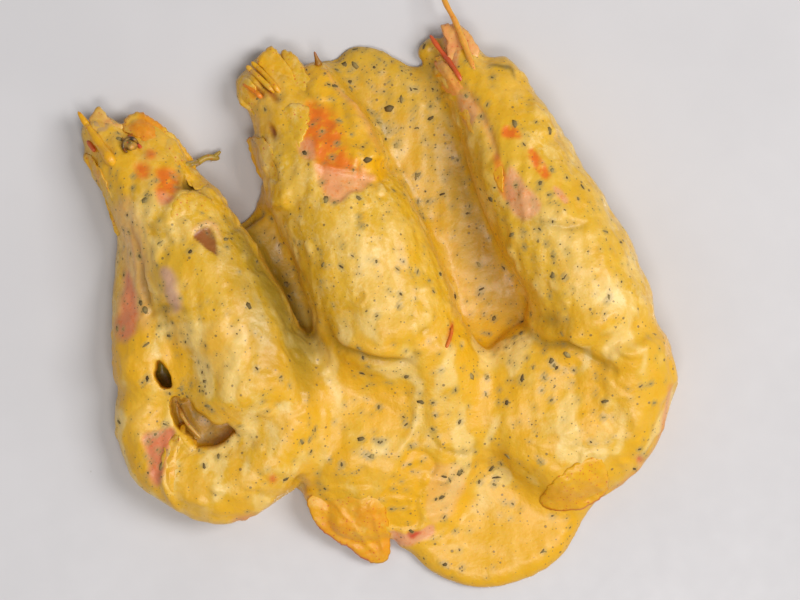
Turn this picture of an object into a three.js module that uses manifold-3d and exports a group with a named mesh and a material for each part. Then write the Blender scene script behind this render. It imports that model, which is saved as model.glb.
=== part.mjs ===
// A dish of three whole prawns in truffle cream sauce, served on a round white plate.
//
// Millimetres, +Z up. The origin is the middle of the plate's underside, where the foot ring stands on
// the table. Seen from above, +X is to the right and +Y is away from the diner.
// Each prawn lies on its side, head at the back left, back to the right, with its tail curled in at the
// front. The sauce is one solid: it coats the prawns, pools between them and carries the truffle
// flakes. It is hollow where the prawns lie, and open where their shells, heads and tail fans show.

import * as THREE from 'three';
import { mergeVertices } from 'three/addons/utils/BufferGeometryUtils.js';
import Module from 'manifold-3d';

const wasm = await Module();
wasm.setup();

// The plate: a shallow coupe with a wide flat well. Its side leaves the well gently and then rises
// steeply: `sweep` is how far in from the rim it turns up, and `lift` how high it stands there.
const PLATE = {
  radius: 150, height: 20, wall: 4.5, lip: 3.2, wellRadius: 116, sweep: 13, lift: 1.5,
  footRadius: 88, footWidth: 5, footHeight: 2.5, footFlare: 1.5, sides: 48, bendSteps: 3,
};
const WELL_LEVEL = PLATE.footHeight + PLATE.wall;

// Pieces that touch keep this gap, so the food starts just above the well.
const GAP = 0.3;
const FOOD_LEVEL = WELL_LEVEL + GAP;

// How thick the sauce lies on a prawn, and how far a body's round underside is sunk and cut flat.
const COAT = 2.2;
const SINK = 1;

// A trunk's half width at the beak as a share of its girth, how fast it fills out, and where along it
// the girth is reached. A body's rounded end is this share of its half width long, drawn at two slopes.
const BEAK_SHARE = 0.27;
const FILL_OUT = 0.8;
const GIRTH_AT = 0.75;
const END_LENGTH = 0.7;
const END_SLOPES = [38, 72].map(THREE.MathUtils.degToRad);

// An eye, and the height to which the sauce is open over the outer part of a blade.
const EYE_RADIUS = 2;
const HEADROOM = 12;

// Places are [x, y] from the middle of the plate, and heights are above the well.
// A trunk is the head and the straight part of the back, along a line from `head` to `rear` that
// bows towards `bend`. A curl is the tail, on an arc in degrees. Both are given with the sauce on.
// A blade is a thin leaf of shell: a tail-fan blade, a flap of the head or an antennal scale.
// A feeler is a thin round rod through its points: the beak, an antenna or the end of a leg.
const PRAWNS = [
  {
    name: 'prawn_left',
    trunk: {
      head: [-67.5, 37.8], bend: [-44.4, 13.9], rear: [-32.6, -17.2],
      girth: 13.6, tops: [9, 23.5],
    },
    curl: {
      middle: [-41, -22.5], radius: 17.1, from: 5, to: -193,
      halves: [7, 12.8, 3], tops: [20, 15, 11],
    },
    fan: [
      { base: [-58.2, -15, 7.4], tip: [-60.4, 17, 5], half: 2.6, thick: 1.6, covered: true },
      { base: [-57.4, -15, 8.6], tip: [-57.6, 11, 6.8], half: 2.2, thick: 1.6, covered: true },
    ],
    head: [
      { base: [-61, 31, 7], tip: [-66.9, 42.7, 4], half: 2.4, thick: 1.6 },
      { base: [-54, 30.5, 8], tip: [-58.3, 41.3, 4.5], half: 3.3, thick: 3 },
      { base: [-61, 27, 7], tip: [-69.6, 32, 3.5], half: 2.8, thick: 1.6 },
    ],
    feelers: [
      { points: [[-61, 23, 11], [-65.5, 31, 8], [-71.2, 41.6, 5]], thick: [4.4, 1] },
      { points: [[-52, 27.5, 6], [-47, 29.6, 2.6], [-40, 31.2, 1.7]], thick: [2, 1.4] },
    ],
    eye: [-60.2, 33.2, 8],
  },
  {
    name: 'prawn_middle',
    trunk: {
      head: [-30.4, 48], bend: [-11.9, 23.5], rear: [-1.8, -5.5],
      girth: 15, tops: [10, 24],
    },
    curl: {
      middle: [-11.4, -22.4], radius: 21.6, from: 30, to: -85,
      halves: [8.8, 9.7, 10.3], tops: [19, 12, 8],
    },
    fan: [
      { base: [-14.5, -37, 6], tip: [-4.2, -57.8, 2.6], half: 6.2, thick: 1.6 },
      { base: [4, -33, 7.6], tip: [-1, -54.5, 4.6], half: 3.6, thick: 2 },
      { base: [9.5, -33, 7], tip: [8, -50.8, 5], half: 4.8, thick: 1.6 },
    ],
    head: [
      { base: [-26.5, 43, 7], tip: [-29.2, 56.4, 4], half: 3.6, thick: 2 },
      { base: [-24.5, 42, 8], tip: [-22.6, 54.2, 5.5], half: 1.9, thick: 1.6 },
      { base: [-21.5, 40, 8], tip: [-15.6, 53.4, 5], half: 3.4, thick: 1.8 },
      { base: [-27, 39, 8], tip: [-33.6, 35.2, 4], half: 2.8, thick: 1.6 },
    ],
    feelers: [
      { points: [[-25.5, 42.5, 10], [-30, 46.5, 7.5], [-34.9, 49.6, 4.5]], thick: [2.2, 1] },
    ],
  },
  {
    name: 'prawn_right',
    trunk: {
      head: [13.2, 53.9], bend: [28.9, 26], rear: [44, -2.6],
      girth: 12.7, tops: [9, 23],
    },
    curl: {
      middle: [31.5, -16.7], radius: 20, from: 15, to: -70,
      halves: [8.8, 9.2, 8.8], tops: [20, 13, 9],
    },
    fan: [
      { base: [43, -31, 8], tip: [32, -44, 5.6], half: 5, thick: 1.6 },
      { base: [46, -33, 6.6], tip: [40.5, -46, 4.8], half: 4.6, thick: 1.6 },
    ],
    head: [
      { base: [17.6, 47, 8], tip: [13.4, 60.9, 4.5], half: 3.2, thick: 2.4 },
      { base: [14.5, 48, 7], tip: [8.6, 53, 4.5], half: 2.2, thick: 1.6 },
    ],
    feelers: [
      { points: [[20, 44, 12], [16, 54.5, 9], [10, 66, 6], [7, 74, 4.4]], thick: [1.8, 1] },
      { points: [[16, 43, 10], [11, 52, 8], [6.4, 58.6, 5.6]], thick: [1.8, 1] },
    ],
  },
];

// The pool of sauce under and between the prawns, round its edge from the back left.
const POOL = {
  depth: 4, edge: 1.6, steps: 48,
  outline: [
    [-14.3, 53.2], [-10.6, 56.3], [-4.8, 55.7], [1.1, 52.4], [8.8, 49.7], [16.5, 41.8], [26, 17],
    [41.8, -7.7], [48, -22], [44, -39.6], [38.1, -53.9], [31.9, -59.8], [22, -63.6], [13.6, -63.1],
    [7, -60.3], [1.8, -54.8], [-3.3, -47.3], [-14.3, -42.2], [-28.6, -36.3], [-36, -12], [-38.3, 11],
    [-31.9, 20.5], [-24, 34], [-18, 48.4],
  ],
};

// Mounds of sauce inside the curls, the lowest in the left one, where a hole shows.
const MOUNDS = [
  { middle: [-7.7, -26.4], half: 14.5, top: 11 },
  { middle: [31.9, -22], half: 14.5, top: 12.5 },
  { middle: [-43, -26], half: 10.5, top: 5 },
];

// Thin runs of sauce: over the left tail fan, from there to the belly, and the drop by the right head
// with its neck.
const RUNS = [
  { from: [-58.6, -16], to: [-60.7, 18.7], halves: [4.4, 4.2, 2], tops: [11.5, 9.5, 6.2] },
  { from: [-55, 2], to: [-51, -8.5], halves: [4.4, 5, 5], tops: [10, 11, 11] },
  { from: [6.6, 55.7], to: [11, 51.2], halves: [3, 2, 1.6], tops: [4.6, 3.6, 3.4] },
];

// Bare patches of shell, where the sauce has run off: half sizes, and turned so many degrees.
const PATCHES = [
  { middle: [-13.2, 30.8], halves: [6.2, 9.4], turn: 24, floor: 12 },
  { middle: [-50.2, 24.6], halves: [3.8, 5.2], turn: 35, floor: 9 },
  { middle: [-53.4, -33.4], halves: [3.6, 5], turn: 35, floor: 7 },
  { middle: [-59.4, -3.3], halves: [2.6, 4.8], turn: 0, floor: 6 },
  { middle: [30.4, 30.1], halves: [1.8, 2.9], turn: 25, floor: 12 },
];

// Truffle flakes: how many, their half lengths from the largest down, their narrowest and widest and
// their thickness as shares of the length, the room each one keeps, and the steepest place for one as
// the least upward part of the sauce's normal.
const FLAKES = {
  count: 48, largest: 1.7, smallest: 0.9, narrow: 0.55, wide: 0.85, thick: 0.45,
  spacing: 6.4, steepest: 0.55, tries: 4000, seed: 11,
};

// How finely the round shapes are divided.
const COAT_SIDES = 12;
const SHELL_SIDES = 8;
const BLADE_SIDES = 6;
const TRUNK_STEPS = 6;
const CURL_STEP_DEGREES = 17;
const RUN_SIDES = 8;
const RUN_STEPS = 3;
const BLADE_STEPS = 3;
const EYE_DIVISIONS = [8, 6];
const MOUND_DIVISIONS = [14, 7];
const PATCH_SIDES = 12;

// The heights of the space above a level and of the column over a bare patch: both clear the food.
const SPACE_HEIGHT = 60;
const COLUMN_HEIGHT = 30;

const UP = new THREE.Vector3(0, 0, 1);
const WELD = 1e-4;

const MATERIALS = {
  plate: new THREE.MeshStandardMaterial({ color: 0xe9e5e4, roughness: 0.12, metalness: 0 }),
  sauce: new THREE.MeshStandardMaterial({ color: 0xd9a03c, roughness: 0.3, metalness: 0 }),
  shell: new THREE.MeshStandardMaterial({ color: 0xe07a28, roughness: 0.35, metalness: 0 }),
};

// A place above the well as a point of the model.
function above([x, y, z = 0]) {
  return new THREE.Vector3(x, y, WELL_LEVEL + z);
}

// A number that goes from the first to the last of three as t goes from 0 to 1, drawn by the middle one.
function blend([start, middle, end], t) {
  return start * (1 - t) ** 2 + 2 * middle * t * (1 - t) + end * t ** 2;
}

// A closed surface as a solid that can be joined and cut.
function solidOf(geometry) {
  geometry.deleteAttribute('normal');
  geometry.deleteAttribute('uv');
  const merged = mergeVertices(geometry, WELD);
  return new wasm.Manifold(new wasm.Mesh({
    numProp: 3,
    vertProperties: new Float32Array(merged.attributes.position.array),
    triVerts: new Uint32Array(merged.index.array),
  }));
}

// A solid back as a surface.
function geometryOf(solid) {
  const { vertProperties, triVerts } = solid.getMesh();
  const geometry = new THREE.BufferGeometry();
  geometry.setAttribute('position', new THREE.Float32BufferAttribute(vertProperties, 3));
  geometry.setIndex(new THREE.BufferAttribute(triVerts, 1));
  geometry.computeVertexNormals();
  return geometry;
}

function join(solids) {
  return solids.reduce((joined, next) => joined.add(next));
}

// An oval ring square to the direction `along`, `half` wide to each side and `rise` high each way.
function ovalRing(centre, along, half, rise, sides) {
  const across = UP.clone().cross(along).normalize();
  const upward = along.clone().cross(across).normalize();
  return Array.from({ length: sides }, (_, i) => {
    const angle = (i / sides) * 2 * Math.PI;
    return centre.clone()
      .addScaledVector(across, half * Math.cos(angle))
      .addScaledVector(upward, rise * Math.sin(angle));
  });
}

// A skin over rings of equally many points, closed at each end by a fan round the ring's middle.
function loft(rings) {
  const sides = rings[0].length;
  const points = rings.flat();
  const index = [];
  const last = (rings.length - 1) * sides;
  const middleOf = (ring) => ring.reduce((sum, p) => sum.add(p), new THREE.Vector3()).divideScalar(sides);
  points.push(middleOf(rings[0]), middleOf(rings.at(-1)));
  for (let j = 0; j < sides; j += 1) {
    const next = (j + 1) % sides;
    for (let row = 0; row < last; row += sides) {
      index.push(row + j, row + next, row + sides + j);
      index.push(row + next, row + sides + next, row + sides + j);
    }
    index.push(points.length - 2, next, j);
    index.push(points.length - 1, last + j, last + next);
  }
  const geometry = new THREE.BufferGeometry().setFromPoints(points);
  geometry.setIndex(index);
  return solidOf(geometry);
}

// A plump body lying along a level line. Its rings are upright ovals from just under the food's level
// up to `top`, and its ends are rounded off. `inset` takes the coat of sauce off it, and `gap` leaves
// that much room round it.
function lyingBody({ line, half, top, steps, sides }, inset = 0, gap = 0) {
  const rings = [];
  const addRing = (t, slope) => {
    const along = line.getTangentAt(t).setZ(0).normalize();
    const width = half(t) - inset + gap;
    const foot = FOOD_LEVEL - SINK - gap;
    const crown = WELL_LEVEL + top(t) - inset + gap;
    const centre = line.getPointAt(t).setZ((foot + crown) / 2);
    centre.addScaledVector(along, Math.sin(slope) * width * END_LENGTH);
    const shrink = Math.cos(slope);
    rings.push(ovalRing(centre, along, width * shrink, ((crown - foot) / 2) * shrink, sides));
  };
  END_SLOPES.toReversed().forEach((slope) => addRing(0, -slope));
  for (let i = 0; i <= steps; i += 1) addRing(i / steps, 0);
  END_SLOPES.forEach((slope) => addRing(1, slope));
  return loft(rings);
}

// The head and back: narrow at the beak, filling out like a quarter of a sine wave.
function trunkForm({ head, bend, rear, girth, tops }, sides) {
  const swelling = (t) => Math.sin((Math.PI / 2) * Math.min(1, t / GIRTH_AT));
  return {
    line: new THREE.QuadraticBezierCurve3(above(head), above(bend), above(rear)),
    half: (t) => girth * THREE.MathUtils.lerp(BEAK_SHARE, 1, swelling(t) ** FILL_OUT),
    top: (t) => THREE.MathUtils.lerp(tops[0], tops[1], swelling(t)),
    steps: TRUNK_STEPS,
    sides,
  };
}

// The tail, on its arc.
function curlForm({ middle, radius, from, to, halves, tops }, sides) {
  const steps = Math.round((from - to) / CURL_STEP_DEGREES);
  const points = Array.from({ length: steps + 1 }, (_, i) => {
    const angle = THREE.MathUtils.degToRad(THREE.MathUtils.lerp(from, to, i / steps));
    return above([middle[0] + radius * Math.cos(angle), middle[1] + radius * Math.sin(angle)]);
  });
  return {
    line: new THREE.CatmullRomCurve3(points),
    half: (t) => blend(halves, t),
    top: (t) => blend(tops, t),
    steps,
    sides,
  };
}

// How wide a blade is on its way from its narrower base past its full width to its rounded tip.
function bladeWidth(half, t) {
  const atBase = 0.62;
  const atTip = 0.37;
  return t === 1 ? half * atTip : half * THREE.MathUtils.lerp(atBase, 1, Math.sin(0.9 * Math.PI * t));
}

// A leaf of shell.
function bladeSolid({ base, tip, half, thick }) {
  const start = above(base);
  const end = above(tip);
  const along = end.clone().sub(start).normalize();
  const rings = Array.from({ length: BLADE_STEPS + 1 }, (_, i) => {
    const t = i / BLADE_STEPS;
    return ovalRing(start.clone().lerp(end, t), along, bladeWidth(half, t), thick / 2, BLADE_SIDES);
  });
  return loft(rings);
}

// The slot that a blade lies in: square-edged, with the gap all round and open above its outer part.
function bladeSlot({ base, tip, half, thick, covered }) {
  const start = above(base);
  const end = above(tip);
  const along = end.clone().sub(start).normalize();
  const across = UP.clone().cross(along).normalize();
  const upward = along.clone().cross(across).normalize();
  start.addScaledVector(along, -GAP);
  end.addScaledVector(along, GAP);
  const rings = Array.from({ length: BLADE_STEPS + 1 }, (_, i) => {
    const t = i / BLADE_STEPS;
    const width = bladeWidth(half, t) + 1.5 * GAP;
    const floor = -thick / 2 - GAP;
    const roof = thick / 2 + (t > 0.5 && !covered ? HEADROOM : GAP);
    const corners = [[width, floor], [width, roof], [-width, roof], [-width, floor]];
    return corners.map(([side, level]) => start.clone().lerp(end, t)
      .addScaledVector(across, side)
      .addScaledVector(upward, level));
  });
  return loft(rings);
}

// A thin tapered rod through its points, with `gap` more all round.
function feelerSolid({ points, thick }, gap = 0) {
  const line = new THREE.CatmullRomCurve3(points.map(above));
  const steps = 2 * (points.length - 1);
  const rings = Array.from({ length: steps + 1 }, (_, i) => {
    const t = i / steps;
    const radius = THREE.MathUtils.lerp(thick[0], thick[1], t) / 2 + gap;
    const along = line.getTangentAt(t);
    const centre = line.getPointAt(t).addScaledVector(along, gap * (2 * t - 1));
    return ovalRing(centre, along, radius, radius, BLADE_SIDES);
  });
  return loft(rings);
}

function eyeSolid(place, gap = 0) {
  const ball = new THREE.SphereGeometry(EYE_RADIUS + gap, ...EYE_DIVISIONS);
  return solidOf(ball.translate(...above(place).toArray()));
}

// A prawn without its sauce.
function prawnSolid(prawn) {
  return join([
    lyingBody(trunkForm(prawn.trunk, SHELL_SIDES), COAT),
    lyingBody(curlForm(prawn.curl, SHELL_SIDES), COAT),
    ...[...prawn.fan, ...prawn.head].map(bladeSolid),
    ...prawn.feelers.map((feeler) => feelerSolid(feeler)),
    ...(prawn.eye ? [eyeSolid(prawn.eye)] : []),
  ]);
}

// The hollow that a prawn lies in, with the gap all round and open above its blades.
function hollowSolid(prawn) {
  return join([
    lyingBody(trunkForm(prawn.trunk, SHELL_SIDES), COAT, GAP),
    lyingBody(curlForm(prawn.curl, SHELL_SIDES), COAT, GAP),
    ...[...prawn.fan, ...prawn.head].map(bladeSlot),
    ...prawn.feelers.map((feeler) => feelerSolid(feeler, GAP)),
    ...(prawn.eye ? [eyeSolid(prawn.eye, GAP)] : []),
  ]);
}

// Everything above the food's level, or a little lower for what has to cut through it.
function spaceAbove(level) {
  const box = new THREE.BoxGeometry(2 * PLATE.wellRadius, 2 * PLATE.wellRadius, SPACE_HEIGHT);
  return solidOf(box.translate(0, 0, level + SPACE_HEIGHT / 2));
}

// The pool is a slab with a rounded edge, whose underside is cut off at the food's level.
function poolSolid() {
  const edge = new THREE.CatmullRomCurve3(POOL.outline.map(([x, y]) => new THREE.Vector3(x, y, 0)), true);
  const shape = new THREE.Shape(edge.getSpacedPoints(POOL.steps).slice(0, -1));
  const slab = new THREE.ExtrudeGeometry(shape, {
    depth: POOL.depth - POOL.edge,
    bevelThickness: POOL.edge,
    bevelSize: POOL.edge,
    bevelOffset: -POOL.edge,
    bevelSegments: 2,
    steps: 1,
  });
  return solidOf(slab.translate(0, 0, WELL_LEVEL));
}

function moundSolid({ middle, half, top }) {
  const dome = new THREE.SphereGeometry(1, ...MOUND_DIVISIONS).rotateX(Math.PI / 2).scale(half, half, top);
  return solidOf(dome.translate(...above(middle).toArray()));
}

function runSolid({ from, to, halves, tops }) {
  return lyingBody({
    line: new THREE.LineCurve3(above(from), above(to)),
    half: (t) => blend(halves, t),
    top: (t) => blend(tops, t),
    steps: RUN_STEPS,
    sides: RUN_SIDES,
  });
}

// The column that opens a bare patch, from inside the prawn upwards.
function patchCutter({ middle, halves, turn, floor }) {
  const column = new THREE.CylinderGeometry(1, 1, COLUMN_HEIGHT, PATCH_SIDES).rotateX(Math.PI / 2);
  column.scale(halves[0], halves[1], 1).rotateZ(THREE.MathUtils.degToRad(turn));
  return solidOf(column.translate(middle[0], middle[1], WELL_LEVEL + floor + COLUMN_HEIGHT / 2));
}

// Random numbers from 0 to 1, the same ones on each run.
function seededRandom(seed) {
  let state = seed;
  return () => {
    state = (state * 1664525 + 1013904223) % 4294967296;
    return state / 4294967296;
  };
}

// One chip of truffle: a flat, uneven lump, half sunk in the sauce at a point of its surface.
function flakeSolid(point, normal, size, random) {
  const lump = new THREE.IcosahedronGeometry(size, 0);
  const width = THREE.MathUtils.lerp(FLAKES.narrow, FLAKES.wide, random());
  lump.scale(1, width, FLAKES.thick).rotateZ(2 * Math.PI * random());
  lump.applyQuaternion(new THREE.Quaternion().setFromUnitVectors(UP, normal));
  return solidOf(lump.translate(point.x, point.y, point.z));
}

// The flakes, the largest first, dropped where they land on sauce that doesn't fall away steeply and
// keep their distance from each other and from the shells.
function flakesOn(sauce, shells) {
  const random = seededRandom(FLAKES.seed);
  const surface = new THREE.Mesh(geometryOf(sauce), new THREE.MeshBasicMaterial({ side: THREE.DoubleSide }));
  const shellSurfaces = shells.map((shell) => new THREE.Mesh(geometryOf(shell), surface.material));
  const rim = sauce.boundingBox();
  const landed = [];
  const flakes = [];
  for (let tries = 0; flakes.length < FLAKES.count && tries < FLAKES.tries; tries += 1) {
    const x = THREE.MathUtils.lerp(rim.min[0], rim.max[0], random());
    const y = THREE.MathUtils.lerp(rim.min[1], rim.max[1], random());
    const ray = new THREE.Raycaster(new THREE.Vector3(x, y, rim.max[2] + COAT), UP.clone().negate());
    const hit = ray.intersectObject(surface)[0];
    const shell = ray.intersectObjects(shellSurfaces)[0];
    const onCream = hit && (!shell || shell.distance > hit.distance + COAT / 2);
    const clear = onCream && landed.every((point) => point.distanceTo(hit.point) > FLAKES.spacing);
    if (clear && hit.face.normal.z > FLAKES.steepest) {
      const share = flakes.length / FLAKES.count;
      const size = THREE.MathUtils.lerp(FLAKES.largest, FLAKES.smallest, Math.sqrt(share));
      landed.push(hit.point);
      flakes.push(flakeSolid(hit.point, hit.face.normal, size, random));
    }
  }
  return flakes;
}

// The largest body of a solid. Cutting can leave loose scraps.
function largestBody(solid) {
  return solid.decompose().reduce((best, next) => (next.volume() > best.volume() ? next : best));
}

function sauceSolid(shells) {
  const hollows = join(PRAWNS.map(hollowSolid));
  const coats = PRAWNS.flatMap(({ trunk, curl }) => [
    lyingBody(trunkForm(trunk, COAT_SIDES)),
    lyingBody(curlForm(curl, COAT_SIDES)),
  ]);
  const cream = join([...coats, poolSolid(), ...MOUNDS.map(moundSolid), ...RUNS.map(runSolid)]);
  const cuts = join([hollows, ...PATCHES.map(patchCutter)]);
  const bareCream = largestBody(cream.intersect(spaceAbove(FOOD_LEVEL)).subtract(cuts));
  const flakes = join(flakesOn(bareCream, shells)).subtract(hollows);
  return largestBody(bareCream.add(flakes).intersect(spaceAbove(FOOD_LEVEL)));
}

// The plate's outline, turned about its axis: the foot ring, the outer wall, the lip and the well.
function plateGeometry() {
  const { radius, height, lip, wellRadius, sweep, lift, sides, bendSteps } = PLATE;
  const { footRadius, footWidth, footHeight, footFlare } = PLATE;
  const under = new THREE.QuadraticBezierCurve(
    new THREE.Vector2(wellRadius, footHeight),
    new THREE.Vector2(radius - sweep, footHeight + lift),
    new THREE.Vector2(radius, height - lip / 2),
  );
  const inner = new THREE.QuadraticBezierCurve(
    new THREE.Vector2(radius - lip, height - lip / 4),
    new THREE.Vector2(radius - sweep, WELL_LEVEL + lift),
    new THREE.Vector2(wellRadius, WELL_LEVEL),
  );
  const profile = [
    new THREE.Vector2(0, footHeight),
    new THREE.Vector2(footRadius - footWidth - footFlare, footHeight),
    new THREE.Vector2(footRadius - footWidth, 0),
    new THREE.Vector2(footRadius, 0),
    new THREE.Vector2(footRadius + footFlare, footHeight),
    ...under.getPoints(bendSteps),
    new THREE.Vector2(radius - lip / 2, height),
    ...inner.getPoints(bendSteps),
    new THREE.Vector2(0, WELL_LEVEL),
  ];
  return new THREE.LatheGeometry(profile, sides).rotateX(Math.PI / 2);
}

function named(name, geometry, material) {
  const mesh = new THREE.Mesh(geometry, material);
  mesh.name = name;
  return mesh;
}

const dish = new THREE.Group();
dish.add(named('plate', plateGeometry(), MATERIALS.plate));

const shells = PRAWNS.map((prawn) => prawnSolid(prawn).intersect(spaceAbove(FOOD_LEVEL)));
shells.forEach((shell, i) => dish.add(named(PRAWNS[i].name, geometryOf(shell), MATERIALS.shell)));
dish.add(named('truffle_sauce', geometryOf(sauceSolid(shells)), MATERIALS.sauce));

export default dish;
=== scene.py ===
"""A dish of three whole prawns in truffle cream sauce, served on a round white plate.

Shapes are worked out in millimetres from the middle of the plate's underside, +X to the right and +Y
away from the diner, and are put into Blender in metres. The plate and the prawns are surfaces of two
parameters. The cream is the skin of a field: bodies of sauce that flow into each other.
"""

import bmesh
import bpy
import numpy as np
from bpy.props import FloatProperty, FloatVectorProperty, IntProperty, PointerProperty
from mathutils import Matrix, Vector


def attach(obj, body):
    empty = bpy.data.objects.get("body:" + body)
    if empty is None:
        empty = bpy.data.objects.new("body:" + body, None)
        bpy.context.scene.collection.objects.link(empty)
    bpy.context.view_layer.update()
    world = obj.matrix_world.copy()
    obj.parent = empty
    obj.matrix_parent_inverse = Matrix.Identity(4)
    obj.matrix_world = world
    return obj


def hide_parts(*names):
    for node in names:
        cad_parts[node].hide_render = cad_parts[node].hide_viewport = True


bl_info = {
    "name": "Dish of prawns in truffle sauce",
    "version": (1, 0, 0),
    "blender": (4, 5, 0),
    "location": "View3D > Sidebar > Prawn dish",
    "description": "Builds a plate of prawns in truffle cream sauce around its CAD frame",
    "category": "Object",
}

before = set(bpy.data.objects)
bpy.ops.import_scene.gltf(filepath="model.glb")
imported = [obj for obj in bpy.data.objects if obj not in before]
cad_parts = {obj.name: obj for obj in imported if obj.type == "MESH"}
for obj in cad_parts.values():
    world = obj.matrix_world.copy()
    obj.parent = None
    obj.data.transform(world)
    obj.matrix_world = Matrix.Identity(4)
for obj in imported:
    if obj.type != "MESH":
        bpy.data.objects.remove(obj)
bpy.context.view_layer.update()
METRES = 0.001

# Levels: the plate's well, and the food a hair above it.
WELL_LEVEL = 7.0
FOOD_LEVEL = 7.3

# How far a lying body's underside is sunk, how high its widest place is as a share of its height, and how
# much steeper it is drawn under that place. The shell inside is at least THINNEST in half width, and a
# rounded end is END_LENGTH of its half width long.
SINK = 1.0
WAIST = 0.44
UNDERCUT = 1.5
THINNEST = 0.4
END_LENGTH = 0.7

# A trunk's half width at the beak as a share of its girth, how it fills out and where it is full.
BEAK_SHARE = 0.27
FILL_OUT = 0.8
GIRTH_AT = 0.75

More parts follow.
